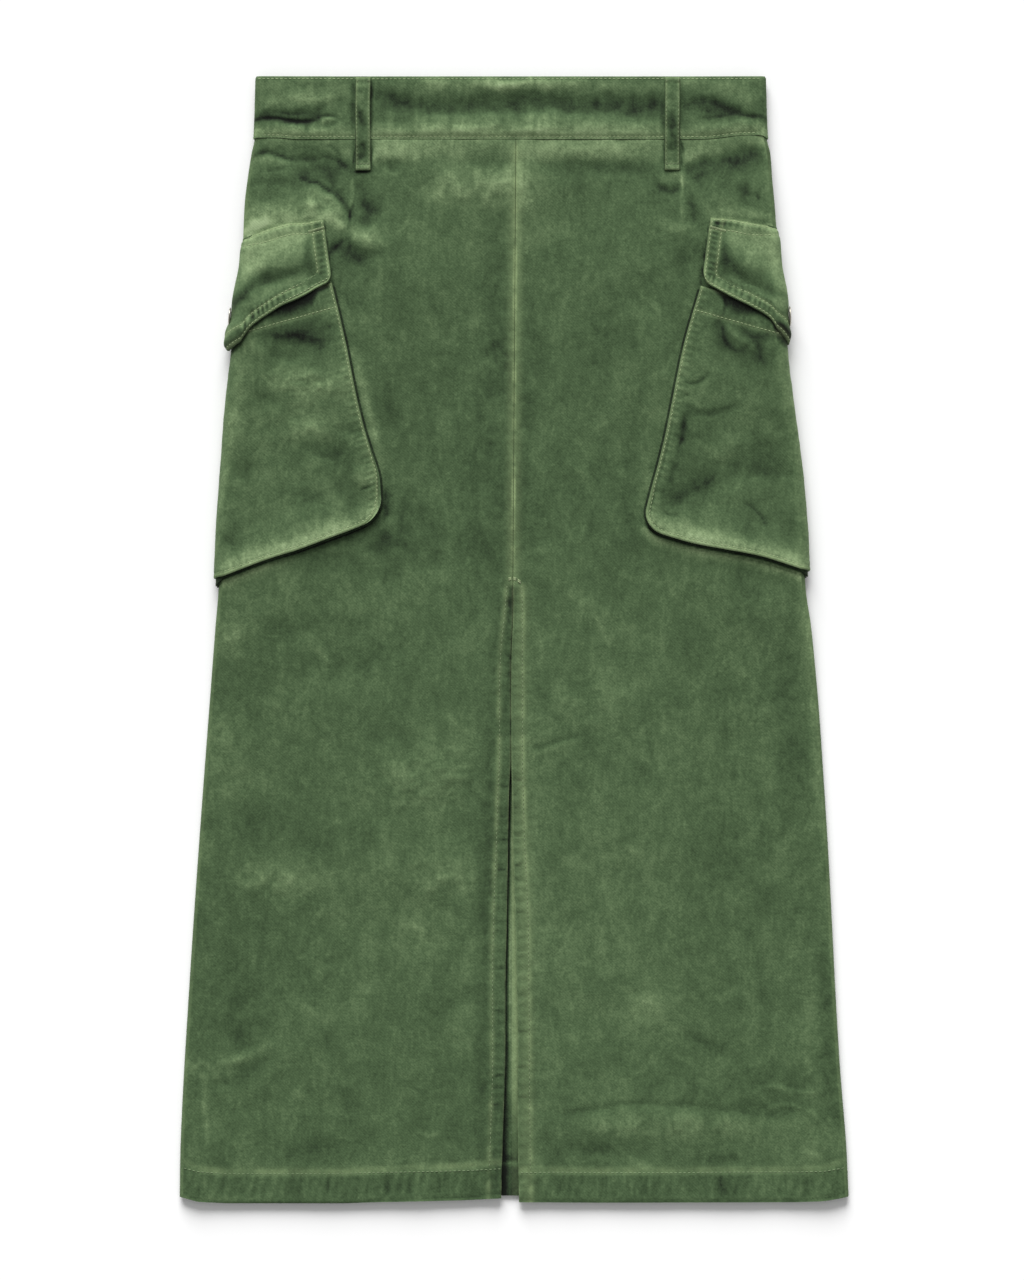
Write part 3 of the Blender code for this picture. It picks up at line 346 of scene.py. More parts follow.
    (221.9, 816.2, 228, 820.8, 234.1, 825.4, 2.5, .055, .1),
    (-99.6, 831.4, -98, 831.4, -96.5, 831.4, 1.2, .165, .1),
    (86.6, 827.6, 95, 827.6, 103.4, 828.4, 5, .1, .1),
    (-97.3, 836, -97.3, 842.8, -96.5, 849.7, 1.8, -.112, -.4),
    (-207.5, 836, -207.5, 842.8, -206.7, 849.7, 1.6, -.07, -.3),
    (-140.6, 836, -140.6, 842.8, -139.8, 849.7, 1.6, -.07, -.3),
    (-79, 836, -79, 842.8, -78.3, 849.7, 1.6, -.07, -.3),
    (-57, 836, -57, 842.8, -56.2, 849.7, 1.6, -.07, -.3),
    (33.4, 836, 33.4, 842.8, 34.2, 849.7, 1.6, -.07, -.3),
    (100.3, 836, 100.3, 842.8, 101.1, 849.7, 1.6, -.07, -.3),
    (156.6, 836, 156.6, 842.8, 157.3, 849.7, 3, -.12, -.3),
    (221.9, 836, 221.9, 842.8, 222.7, 849.7, 1.6, -.07, -.3),
    (0, 388.4, -.8, 399.8, -.8, 412.7, 3, -.12, -.1),
    (-16.7, 473.5, -19.8, 610.3, -27.4, 807.9, 6, -.06, -.25),
    (-205.2, 117.8, -196.1, 111.7, -183.9, 110.2, 5, .2, .2),
    (-207.5, 145.2, -206, 131.5, -202.9, 113.2, 3, .15, 0),
    (-205.2, 85.9, -191.5, 81.3, -170.2, 82.8, 5, -.04, -.2),
    (196.1, 120.8, 199.1, 112.5, 201.4, 105.6, 4, .06, .1),
    (-111, 58.5, -104.9, 63.1, -97.3, 61.6, 5, .08, .2), (114, 70.7, 123.1, 72.2, 130.7, 69.2, 5, .08, .2),
    (-118.6, 126.9, -109.4, 128.4, -98.8, 125.4, 6, .04, .2),
    (-123.1, 209, -112.5, 239.4, -100.3, 298.7, 3.4, .09, .1),
    (-104.9, 207.5, -94.2, 245.5, -88.2, 283.5, 5, -.07, -.1),
    (-98.8, 342.8, -98.8, 351.9, -107.9, 358, 7, -.12, -.2),
    (-98.8, 312.4, -96.9, 324.5, -98.8, 336.7, 1.8, -.2, 0),
    (-162.6, 371.6, -124.6, 367.1, -89.7, 389.9, 14, -.05, -.1),
    (-139.8, 412.7, -101.8, 435.5, -71.4, 427.9, 20, -.03, -.1),
    (35, 394.4, 57.8, 405.1, 80.6, 427.9, 13, .05, .1),
    (65.4, 435.5, 69.9, 473.5, 74.5, 511.5, 11, .045, .1),
    (92.7, 525.2, 98.8, 531.2, 104.9, 535.8, 9, -.06, -.1),
    (15.2, 199.9, 19.8, 209, 22.8, 219.6, 7, -.07, -.1),
    (15.2, 386.8, 21.3, 392.9, 25.8, 402, 7, -.07, -.1), (4.6, 55.5, 3.8, 146.7, 1.5, 245.5, 3, .04, .1),
    (-208.2, 613.3, -182.4, 610.3, -158.1, 614.8, 9, .05, .1),
    (-71.4, 616.4, -56.2, 608.8, -39.5, 604.2, 8, .06, .1),
    (-59.3, 709.1, -33.4, 701.5, -19.8, 710.6, 9, -.03, -.1),
    (86.6, 710.6, 103.4, 704.5, 123.1, 712.1, 13, .06, .1),
    (35, 795.7, 103.4, 801.8, 173.3, 794.2, 8, .05, .1),
    (-211.3, 727.3, -200.6, 734.9, -191.5, 741, 6, -.08, -.3),
    (-196.1, 812.4, -147.4, 815.5, -101.8, 809.4, 9, -.04, -.1),
    (-10.6, 90.4, -1.5, 72.2, 7.6, 85.9, 10, .05, .1),
    (-89.7, 367.1, -56.2, 367.1, -21.3, 356.4, 12, -.03, -.1),
    (133.8, 367.1, 171.8, 405.1, 209.8, 397.5, 14, .02, .1),
    (223.4, 382.3, 226.5, 473.5, 235.6, 595.1, 2.8, .07, 0),
    (239.4, 610.3, 244.7, 701.5, 249.3, 792.7, 2.6, .05, 0),
    (-203.7, 63.1, -206, 85.9, -207.5, 102.6, 3, .07, 0),
    (-86.6, 98, -56.2, 93.5, -28.9, 104.1, 10, -.03, -.1),
    (35, 75.2, 74.5, 70.7, 104.9, 78.3, 5, -.05, -.3),
)
BAND_STROKES = table(
    STROKE,
    (-162.6, 3.8, -147.4, 2.3, -127.7, 3.8, 4, .04, .1),
    (-130.7, 5.3, -123.1, 14.4, -112.5, 20.5, 6, .09, .2), (-21.3, 9.9, -6.1, 11.4, 6.1, 14.4, 7, .08, .2),
    (123.1, 5.3, 133.8, 2.3, 145.9, 5.3, 5, .1, .1),
    (-191.5, 35.7, -170.2, 36.5, -150.5, 38.8, 2.4, -.07, -.2),
    (-198.4, 34.2, -187, 32.7, -173.3, 33.8, 1.5, -.3, -.7),
    (-198.4, 5.3, -199.9, 16, -199.9, 26.6, 4, .1, .1),
    (-173.3, 33.8, -161.1, 35, -150.5, 33.1, 1.6, -.3, -.7),
    (-150.5, 33.1, -144.4, 30.4, -137.6, 30, 1.2, -.2, -.4),
    (-137.6, 30, -133.8, 31.2, -130.7, 34.2, 1.1, -.1, -.3),
    (-196.1, 29.3, -177.8, 28.5, -150.5, 29.6, 2.6, -.14, -.3),
    (-150.5, 30.4, -147.4, 25.1, -144.4, 22, 3, -.17, -.4),
    (-147.4, 35, -141.4, 32.7, -135.3, 33.4, 1.9, .12, .4),
    (-145.9, 37.6, -140.6, 37.2, -134.5, 35, 1.1, -.12, -.2),
    (-190, 36.5, -190, 39.5, -190, 43.3, 1.1, -.07, -.2),
    (-183.9, 36.5, -183.9, 39.5, -183.2, 43.3, 1.1, -.06, -.2),
    (-175.6, 35.7, -175.6, 39.5, -175.6, 43.3, 1.1, -.12, -.3),
    (-171.8, 36.5, -171.8, 40.3, -171.8, 43.3, 1.1, -.08, -.2),
    (-158.8, 36.5, -158.8, 39.5, -158.8, 43.3, 1.1, -.1, -.3),
    (-154.3, 36.5, -154.3, 39.5, -154.3, 43.3, 1.1, -.06, -.2),
    (130.7, 26.6, 133.8, 22, 140.6, 16.7, 3.5, -.14, -.4),
    (140.6, 18.2, 149, 18.6, 158.1, 22.8, 2.8, -.16, -.5),
    (158.1, 22.8, 167.2, 27, 174.8, 30.8, 2.6, -.15, -.5),
    (174.8, 30.8, 183.2, 31.2, 191.5, 33.1, 2.2, -.18, -.5),
    (139.8, 20.5, 152, 23.6, 170.2, 30.4, 5, -.13, -.2),
    (133.8, 26.6, 145.2, 23.6, 156.6, 26.6, 5, -.08, -.2),
    (141.4, 30.4, 150.5, 31.5, 168.7, 29.3, 1.6, -.1, -.2),
    (175.6, 20.5, 180.9, 17.5, 187, 20.5, 6, .08, .2), (188.5, 16, 188.5, 22, 189.2, 28.1, 1.1, -.08, -.1),
    (145.2, 6.8, 150.5, 3.8, 155, 6.8, 3, -.06, -.1),
    (-121.3, 5.3, -121.3, 25.1, -121.3, 44.8, 1, -.25, -.2),
    (114, 11.4, 114, 28.1, 114, 44.8, 1, -.35, -.2), (104.9, 20.5, 107.9, 26.6, 109.4, 31.2, 5, -.09, -.2),
    (-101.8, 7.6, .8, 7.6, 109.4, 7.6, 5.5, .1, .1), (12.2, 22.8, 17.5, 23.6, 23.6, 22, 5, -.07, -.1),
    (-196.1, 41, -164.9, 41, -128.4, 41, 4.5, .09, .4),
    (-194.6, 14.4, -162.6, 13.7, -132.2, 15.2, 12, .05, .1),
    (-132.2, 16, -131.5, 17.5, -130.7, 19, 5, -.1, -.2),
    (-103.4, 12.2, -75.2, 22, -35.7, 24.3, 6.5, -.15, -.6),
    (-35.7, 24.3, 4.6, 20.5, 43.3, 22, 7.5, -.14, -.6), (43.3, 22, 84.4, 23.6, 109.4, 22.8, 7.5, -.18, -.6),
    (-33.4, 15.2, -6.8, 12.9, 23.6, 15.2, 4, -.06, -.1), (-101.8, 41, .8, 39.5, 109.4, 40.3, 5.5, .09, .5),
    (-41, 32.7, 4.6, 31.2, 57.8, 32.7, 6, .03, .1), (133.8, 40.3, 162.6, 39.5, 190.8, 39.5, 4.5, .02, .4),
    (141.4, 8.4, 168, 9.9, 188.5, 13.7, 9, .05, .1),
    (-108.7, 3.8, -108.7, 25.1, -108.7, 44.8, 1.1, -.25, -.2),
    (126.9, 11.4, 126.9, 28.1, 126.9, 44.8, 1.1, -.2, -.2),
    (-194.6, 20.5, -165.7, 19.8, -139.8, 17.5, 6, .14, .2), (-71.4, 3.8, -10.6, 4.6, 65.4, 3.8, 4, .08, .2),
    (-21.3, 8.4, -6.1, 6.8, 12.2, 8.4, 5, .07, .2), (141.4, 5.3, 159.6, 6.8, 179.4, 9.9, 4, .07, .1),
    (-101.8, 29.6, -10.6, 31.9, 95.8, 30.4, 4, .04, .1),
)
LOOP_STROKES = table(
    STROKE,
    (-119.3, 30.4, -115.5, 35, -112.5, 41.8, 1.7, -.1, -.3),
    (-119.3, 26.6, -117, 28.1, -114, 30.4, 1.6, -.13, -.2),
    (-118.6, 54, -114.8, 52.1, -113.2, 55.5, 1.1, -.12, -.2),
    (-118.6, 60, -116.3, 61.9, -112.5, 58.5, 1.1, -.16, -.2),
    (120.1, 31.2, 120.1, 35.7, 119.3, 41.8, 2, -.08, -.3),
    (117, 52.4, 120.1, 55.5, 123.1, 52.4, 1.3, -.13, -.2),
    (-115.5, 5.3, -115.5, 11.4, -115.5, 19, 5, .08, .2),
    (-115.5, 30.4, -115.5, 35.7, -115.5, 40.3, 4, -.1, -.3),
    (-115.5, 53.2, -115.5, 57, -115.5, 61.6, 4, -.1, -.3), (120.8, 5.3, 120.8, 11.4, 120.8, 19, 5, .06, .2),
    (120.8, 27.4, 120.8, 33.4, 120.8, 40.3, 5, -.1, -.3),
    (121.6, 43.3, 121.6, 47.9, 121.6, 53.2, 4, -.1, -.3),
)
POCKET_LEFT = table(
    STROKE,
    (-191.5, 192.3, -177.8, 197.6, -165.7, 195.3, 3, -.1, -.3),
    (-162.6, 196.8, -149, 201.4, -138.3, 199.9, 3.4, -.1, -.3),
    (-187, 209, -170.2, 212, -155, 209, 4, -.08, -.3),
    (-145.9, 192.3, -137.6, 190, -130, 189.2, 2.4, -.08, -.3),
    (-200.6, 199.9, -196.1, 207.5, -187, 209, 3, .06, .2),
    (-214.3, 245.5, -208.2, 268.3, -211.3, 291.1, 8, .05, .1),
    (-128.4, 306.3, -123.1, 325.3, -120.1, 342.8, 10, -.09, -.2),
    (-183.9, 198.4, -164.2, 199.9, -145.9, 201.4, 7, -.09, -.3),
    (-191.5, 239.4, -162.6, 242.4, -128.4, 244, 16, .05, .1),
    (-149, 283.5, -127.7, 292.6, -118.6, 298.7, 10, -.06, -.1),
    (-185.4, 198.4, -164.9, 193.8, -143.6, 192.3, 10, -.1, -.5),
    (-171.8, 232.6, -149, 230.3, -125.4, 228.8, 9, .08, .4),
    (-196.1, 244, -186.2, 244.7, -177.1, 245.5, 6, -.08, -.3),
    (-170.2, 271.3, -155, 269, -139.8, 267.5, 8, .07, .3),
    (-130.7, 269, -123.1, 269, -114.8, 269.8, 4, -.09, -.3),
    (-159.6, 287.3, -145.9, 285.8, -130.7, 285, 6, -.08, -.3),
    (-209.8, 299.4, -202.2, 298.7, -194.6, 300.2, 7, -.08, -.3),
    (-124.6, 294.9, -117, 301, -110.2, 308.6, 7, .08, .3),
    (-162.6, 321.5, -153.5, 320, -143.6, 319.2, 6, -.08, -.3),
    (-116.3, 312.4, -112.5, 312.4, -108.7, 312.4, 1.3, -.15, -.3),
    (-206, 207.5, -217.4, 283.5, -227.2, 367.1, 4, .07, .1),
    (-224.2, 351.9, -216.6, 351.9, -208.2, 352.6, 5, -.1, -.3),
)
POCKET_RIGHT = table(
    STROKE,
    (129.2, 257.6, 128.4, 266.8, 126.2, 276.6, 2.4, -.16, -.35),
    (126.2, 272.8, 124.6, 280.4, 123.1, 290.3, 2, -.12, -.3),
    (121.6, 297.2, 119.3, 303.2, 117, 309.3, 2.2, -.08, -.2),
    (111.7, 320.7, 132.2, 314.6, 153.5, 300.2, 4, -.09, -.25),
    (114, 330.6, 118.6, 332.1, 125.4, 332.9, 1.2, -.1, -.2),
    (174.8, 324.5, 183.9, 330.6, 190.8, 340.5, 2, -.12, -.25),
    (179.4, 336.7, 175.6, 344.3, 181.6, 352.6, 2.4, -.08, -.2),
    (141.4, 275.9, 153.5, 285, 168.7, 280.4, 8, .05, .1),
    (121.6, 336.7, 141.4, 347.3, 171.8, 353.4, 6, .05, .1),
    (153.5, 300.2, 171.8, 307.8, 193, 306.3, 10, .05, .1),
    (155.8, 184.7, 158.8, 197.6, 167.2, 207.5, 2.4, -.15, -.35),
    (167.2, 207.5, 172.5, 209, 177.1, 203.7, 2.6, -.14, -.3),
    (159.6, 168, 160, 173.3, 158.8, 179.4, 1.6, -.14, -.3),
    (161.9, 190.8, 166.4, 196.8, 172.5, 201.4, 2.6, .08, .3),
    (173.3, 192.3, 182.4, 197.6, 195.3, 196.1, 2.8, -.14, -.35),
    (181.6, 199.9, 186.2, 209, 189.2, 218.9, 3, -.12, -.3),
    (141.4, 192.3, 168, 207.5, 188.5, 209, 15, -.07, -.2),
    (128.4, 231, 137.6, 232.6, 146.7, 226.5, 1.5, -.16, -.4),
    (125.4, 241.7, 128.4, 242.4, 132.2, 242.4, 1.2, -.14, -.3),
    (130.7, 252.3, 145.2, 256.1, 168.7, 249.3, 3, -.1, -.3),
    (128.4, 257.6, 130, 263.7, 130.7, 269.8, 2.2, -.12, -.3),
    (172.5, 203.7, 177.8, 204.4, 183.2, 206, 5, .08, .3),
    (180.1, 212, 183.9, 212.8, 187.7, 214.3, 4, -.09, -.3),
    (122.4, 270.6, 124.6, 274.4, 127.7, 278.9, 3, -.1, -.3),
    (120.1, 294.1, 122.4, 296.4, 125.4, 299.4, 3, -.1, -.3),
    (114, 320.7, 152.8, 306.3, 194.6, 288, 9, -.07, -.5),
    (165.7, 297.2, 187, 298.7, 209.8, 301, 7, -.07, -.3),
)
FLAP_LEFT = table(
    STROKE,
    (-217.4, 181.6, -200.6, 161.9, -173.3, 151.2, 4.5, -.15, -.45),
    (-214.3, 172.5, -206.7, 169.5, -199.1, 161.9, 4, -.1, -.2),
    (-173.3, 151.2, -164.2, 149, -158.1, 140.6, 4, -.08, -.3),
    (-201.4, 150.5, -190.8, 145.2, -176.3, 140.6, 4, .04, .1),
    (-206, 169.5, -191.5, 162.6, -170.2, 157.3, 3, .05, .2),
)
FLAP_RIGHT = table(
    STROKE,
    (201.4, 188.5, 204.4, 193, 206.7, 197.6, 2, -.5, 0),
    (159.6, 129.2, 168.7, 149.7, 188.5, 161.1, 4, -.13, -.4),
    (188.5, 161.1, 197.6, 164.9, 206, 169.5, 3.5, -.11, -.3),
    (173.3, 140.6, 182.4, 143.6, 194.6, 145.2, 4, .04, .1),
    (153.5, 111.7, 161.9, 112.5, 171.8, 114, 2.2, -.12, -.2),
)
BACK_STROKES = table(
    STROKE,
    (-162.6, 116.3, -132.2, 123.9, -107.9, 140.6, 3, -.1, -.5),
    (141.4, 112.5, 111, 123.9, 95.8, 140.6, 3, -.1, -.5),
    (-200.6, 427.9, -139.8, 439.3, -71.4, 434, 7, -.06, -.6),
    (65.4, 473.5, 133.8, 465.9, 202.2, 482.6, 7, -.06, -.6),
    (-162.6, 625.5, -101.8, 617.9, -33.4, 636.9, 8, .05, -.5),
    (35, 671.1, 95.8, 690.1, 187, 682.5, 8, -.05, -.6),
    (-200.6, 747.1, -139.8, 731.9, -71.4, 748.6, 6, .06, -.6),
    (65.4, 785.1, 133.8, 773.7, 202.2, 783.6, 6, -.06, -.6),
)
POCKET_STROKES = {"left": POCKET_LEFT, "right": POCKET_RIGHT}
FLAP_STROKES = {"left": FLAP_LEFT, "right": FLAP_RIGHT}


# ------------------------------------------------------------------ helpers
def ease(t, start=0.0, span=1.0):
    """From 0 at start to 1 a span further on."""
    t = np.clip((t - start) / span, 0.0, 1.0)
    return t * t * (3.0 - 2 * t)


def pick(side, left, right):
    return left if side == "left" else right


def fade(t, start=0.0, span=1.0):
    return 1 - ease(t, start, span)


def bell(t, middle=0.0, width=1.0):
    """1 in the middle, fading to both sides."""
    t = (t - middle) / width
    return np.exp(-t * t)


def along(rows, column, at):
    """Value of a named column at places in the table's first column, eased between rows."""
    keys = np.array([row[0] for row in rows])
    values = np.array([getattr(row, column) for row in rows])
    low = np.r_[0, np.arange(len(keys) - 1)]
    high = np.r_[np.arange(1, len(keys)), len(keys) - 1]
    slopes = (values[high] - values[low]) / (keys[high] - keys[low])
    at = np.clip(at, keys[0], keys[-1])
    k = np.clip(np.searchsorted(keys, at, side="right") - 1, 0, len(keys) - 2)
    span = keys[k + 1] - keys[k]
    t = (at - keys[k]) / span
    start = (1 + 2 * t) * (1 - t) ** 2 * values[k] + t * (1 - t) ** 2 * span * slopes[k]
    end = t * t * (3 - 2 * t) * values[k + 1] + t * t * (t - 1) * span * slopes[k + 1]
    return start + end


def straight(rows, column, at):
    return np.interp(at, [row[0] for row in rows], [getattr(row, column) for row in rows])


def lattice(ix, iy, seed):
    n = np.sin(ix * 127.1 + iy * 311.7 + seed * 74.7) * 43758.5453
    return 2 * (n - np.floor(n)) - 1.0


def noise(x, y, size, seed):
    """Smooth noise from -1 to 1 with lumps about size across."""
    x = np.asarray(x, float) / size
    y = np.asarray(y, float) / size
    ix = np.floor(x)
    iy = np.floor(y)
    u = ease(x - ix)
    v = ease(y - iy)
    top = lattice(ix, iy, seed) * (1 - u) + lattice(ix + 1, iy, seed) * u
    low = lattice(ix, iy + 1, seed) * (1 - u) + lattice(ix + 1, iy + 1, seed) * u
    return top * (1 - v) + low * v


def ripple(t, pitch, seed):
    """Uneven ripples along a line, from -1 to 1."""
    t = np.asarray(t, float)
    bent = t + 0.45 * pitch * noise(t, 0.0 * t, 2.3 * pitch, seed)
    strength = 0.62 + 0.38 * noise(t, 0.0 * t + 9.0, 3.1 * pitch, seed + 5)
    return strength * np.sin(2 * math.pi * bent / pitch)


def stroke_fields(strokes, x, drop):
    """Tone and height that a table of strokes gives at places on the cloth."""
    tone = np.zeros(np.shape(x))
    height = np.zeros(np.shape(x))
    warp_x = 1.7 * noise(x, drop, 12.0, 301) + 0.9 * noise(x, drop, 4.6, 302)
    warp_d = 1.7 * noise(x, drop, 12.0, 303) + 0.9 * noise(x, drop, 4.6, 304)
    strength = 1 + 0.45 * noise(x, drop, 7.0, 305) + 0.25 * noise(x, drop, 2.6, 306)
    for stroke in strokes:
        t = np.linspace(0.0, 1.0, 9)
        bend_x = 2 * stroke.x2 - (stroke.x1 + stroke.x3) / 2.0
        bend_d = 2 * stroke.drop2 - (stroke.drop1 + stroke.drop3) / 2.0
        px = (1 - t) ** 2 * stroke.x1 + 2 * t * (1 - t) * bend_x + t * t * stroke.x3
        pd = (1 - t) ** 2 * stroke.drop1 + 2 * t * (1 - t) * bend_d + t * t * stroke.drop3
        reach = 3.2 * stroke.width
        near = (x > px.min() - reach) & (x < px.max() + reach)
        near &= (drop > pd.min() - reach) & (drop < pd.max() + reach)
        if not near.any():
            continue
        loose = 0.0 if stroke.width < 1.05 else min(1.0, 0.3 + stroke.width / 8.0)
        nx = x[near] + loose * warp_x[near]
        nd = drop[near] + loose * warp_d[near]
        best = np.full(nx.shape, 1e9)
        where = np.zeros(nx.shape)
        for k in range(8):
            ex = px[k + 1] - px[k]
            ed = pd[k + 1] - pd[k]
            size = max(ex * ex + ed * ed, 1e-9)
            u = np.clip(((nx - px[k]) * ex + (nd - pd[k]) * ed) / size, 0.0, 1.0)
            far = (nx - px[k] - u * ex) ** 2 + (nd - pd[k] - u * ed) ** 2
            closer = far < best
            best = np.where(closer, far, best)
            where = np.where(closer, (k + u) / 8.0, where)
        taper = 0.35 + 0.65 * np.sqrt(np.clip(np.sin(math.pi * where), 0.0, 1.0))
        amount = np.exp(-(best / stroke.width ** 2) ** (0.72 if stroke.width < 2.7 else 1.0)) * taper
        amount *= 1 + loose * (strength[near] - 1.0)
        amount *= 1.35 if stroke.width < 2.7 else 1.0
        tone[near] += TONE_GAIN * stroke.tone * amount
        height[near] += (1.2 + 0.25 * stroke.width) * stroke.height * amount
    return tone, height


def sunk(height, most):
    """Heights with their hollows kept shallower than most."""
    return np.where(height < 0.0, -most * np.tanh(-height / most), height)


def rounded(side_in, low_in, radius):
    """Distance in from two edges that meet in a round corner."""
    near_side = np.maximum(radius - side_in, 0.0)
    near_low = np.maximum(radius - low_in, 0.0)
    corner = radius - np.hypot(near_side, near_low)
    return np.where((near_side > 0) & (near_low > 0), corner, np.minimum(side_in, low_in))


# ------------------------------------------------------------------ the skirt's surface
# s is the way round from the side fold, positive on the front; out is height off the flattened
# tube. On a pocket, across and fall are its own directions, turned by POCKET_TILT; fall starts at
# the mouth.
def to_pocket(side, s, drop):
    ds = s - POCKET_SHIFT[side]
    dd = drop - MOUTH_DROP
    return ds * TILT_COS - dd * TILT_SIN, ds * TILT_SIN + dd * TILT_COS


def from_pocket(side, across, fall):
    s = POCKET_SHIFT[side] + across * TILT_COS + fall * TILT_SIN
    return s, MOUTH_DROP - across * TILT_SIN + fall * TILT_COS


def across_at(side, s, fall):
    return (s - POCKET_SHIFT[side] - fall * TILT_SIN) / TILT_COS


def lift(side, u, drop):
    across, fall = to_pocket(side, -(u + QUARTER), drop)
    stack = FLAP_LIFT + (PATCH_LIFT - FLAP_LIFT) * ease(fall, 30, 90)
    inside = ease(across, -186, 100) * ease(fall, -132, 75) * fade(fall, 199, 100)
    return stack * inside + BAND_LIFT * fade(drop, BAND_LIFT_END, BAND_LIFT_RAMP)


def stack_height(u, drop):
    middle = MIDDLE_STACK + (HEM_STACK - MIDDLE_STACK) * ease(drop, 750, 70)
    return 2 * FOLD_RADIUS + (middle - 2 * FOLD_RADIUS) * ease(u / STACK_REACH)


def soft_relief(x, drop):
    total = np.zeros(np.shape(x))
    for fold in SOFT_FOLDS:
        turn = math.radians(fold.turn)
        dx = x - fold.x
        dd = drop - fold.drop
        length = (dx * math.cos(turn) + dd * math.sin(turn)) / fold.length
        width = (dd * math.cos(turn) - dx * math.sin(turn)) / fold.width
        total += fold.height * np.exp(-length * length - width * width)
    return total


def seam_rise(x, drop):
    """How far the waistband's lower seam and the cloth about it are drawn up near the sides."""
    rise = 3.0 * ease(x, 143, 34) * (1 - 0.5 * ease(x, 186, 7))
    rise += fade(x, -180, 15)
    return rise * ease(drop, 20, 25) * fade(drop, 50, 45)


def skirt_point(side, s, drop, out):
    """Points out mm above the skirt, s mm round from the side fold, front positive."""
    s, drop, out = np.broadcast_arrays(np.asarray(s, float), drop, out)
    sign = SIGN[side]
    fold = along(SIDE_FOLDS, side, drop)
    wrap = np.abs(s) <= QUARTER
    angle = np.clip(s, -QUARTER, QUARTER) / FOLD_RADIUS
    u = np.maximum(np.abs(s) - QUARTER, 0.0)
    base = lift(side, u, drop)
    x = fold - sign * (FOLD_RADIUS - (FOLD_RADIUS + out) * np.cos(angle))
    x = np.where(wrap, x, fold - sign * (FOLD_RADIUS + u))
    z = base + FOLD_RADIUS + (FOLD_RADIUS + out) * np.sin(angle)
    top = base + stack_height(u, drop) + soft_relief(x, drop) * ease(u / 18.0) + out
    z = np.where(wrap, z, np.where(s < 0.0, base - out, top))
    y = LENGTH / 2.0 - drop + seam_rise(x, drop) * ease(s / QUARTER)
    return np.stack([x, y, z], axis=-1)


def flat_width(side, x, drop):
    """Distance from x to where the side fold's bend begins."""
    return np.abs(along(SIDE_FOLDS, side, drop) - x) - FOLD_RADIUS


def around(side, x, drop):
    return flat_width(side, x, drop) + QUARTER


def side_seam(out):
    return SEAM / 2 * FOLD_RADIUS / (FOLD_RADIUS + out)


# ------------------------------------------------------------------ mesh making
UP = np.array([0.0, 0.0, 1.0])


def beside(*parts):
    return np.concatenate(parts, 1)


def make(name, points, faces, material, crease=None):
    """A smooth piece from points in mm, sharp where it turns by more than crease degrees."""
    mesh = bpy.data.meshes.new(name)
    mesh.from_pydata((np.asarray(points) / 1000.0).tolist(), [], faces)
    mesh.validate()
    mesh.polygons.foreach_set("use_smooth", np.ones(len(mesh.polygons), bool))
    if crease:
        mesh.set_sharp_from_angle(angle=math.radians(crease))
    mesh.materials.append(material)
    thing = bpy.data.objects.new(name, mesh)
    bpy.context.collection.objects.link(thing)
    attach(thing, "root")
    return thing


def paint(thing, key, values):
    layer = thing.data.attributes.new(key, "FLOAT", "POINT")
    layer.data.foreach_set("value", np.asarray(values, np.float32))


def rings(count, size):
    """Faces between rings of size points each."""
    faces = []
    for i in range(count - 1):
        for j in range(size):
            a = i * size + j
            b = i * size + (j + 1) % size
            faces.append((a, b, b + size, a + size))
    return faces


def wrapped(side, face, places, drops, level):
    """Points round a face (front 1, back -1), with the side seam as one more column."""
    last = level[:, -1:]
    return skirt_point(side, face * beside(places, side_seam(last)), drops, beside(level, last))


def shell(name, outer, inner, material, tone=None, worn=None, tone_in=None, worn_in=None):
    """A closed thin sheet: a fine outer grid and an inner grid of every second point."""
    rows, columns = outer.shape[:2]
    inner_rows, inner_columns = inner.shape[:2]
    base = rows * columns

    def quads(n, m, start):
        a = (np.arange(n - 1)[:, None] * m + np.arange(m - 1)[None, :]).ravel() + start
        return np.stack([a, a + 1, a + m + 1, a + m], axis=1).tolist()

    faces = quads(rows, columns, 0)
    faces += [q[::-1] for q in quads(inner_rows, inner_columns, base)]
    step = 1 if inner_rows == rows else 2
    border = [(0, j) for j in range(0, columns - 1, step)]
    border += [(i, columns - 1) for i in range(0, rows - 1, step)]
    border += [(rows - 1, j) for j in range(columns - 1, 0, -step)]
    border += [(i, 0) for i in range(rows - 1, 0, -step)]
    for k, (i, j) in enumerate(border):
        i2, j2 = border[(k + 1) % len(border)]
        a0 = i * columns + j
        a2 = i2 * columns + j2
        b0 = base + i // step * inner_columns + j // step
        b2 = base + i2 // step * inner_columns + j2 // step
        if step == 1:
            faces.append((a0, b0, b2, a2))
            continue
        a1 = (i + i2) // 2 * columns + (j + j2) // 2
        faces += [(a0, b0, a1), (a1, b0, b2), (a1, b2, a2)]
    points = np.concatenate([outer.reshape(-1, 3), inner.reshape(-1, 3)])
    thing = make(name, points, faces, material, 50.0)
    for key, near, far in (("tone", tone, tone_in), ("worn", worn, worn_in)):
        near = np.zeros(base) if near is None else near.ravel()
        far = np.zeros(inner_rows * inner_columns) if far is None else far.ravel()
        paint(thing, key, np.concatenate([near, far]))
    return thing


def thread_line(points, pitch, length, width):
    """Stitches along a line: the two ends and the width of each."""
    travel = np.r_[0.0, np.cumsum(np.linalg.norm(np.diff(points, axis=0), axis=1))]
    count = max(1, int(travel[-1] / pitch))
    grains = []
    for k in range(count):
        middle = (k + 0.5) * travel[-1] / count
        half = length * (0.93 + 0.14 * abs(math.sin(k * 12.9898))) / 2.0
        ends = [np.array([np.interp(t, travel, points[:, c]) for c in range(3)])
                for t in (middle - half, middle + half)]
        grains.append((ends[0], ends[1], width))
    return grains


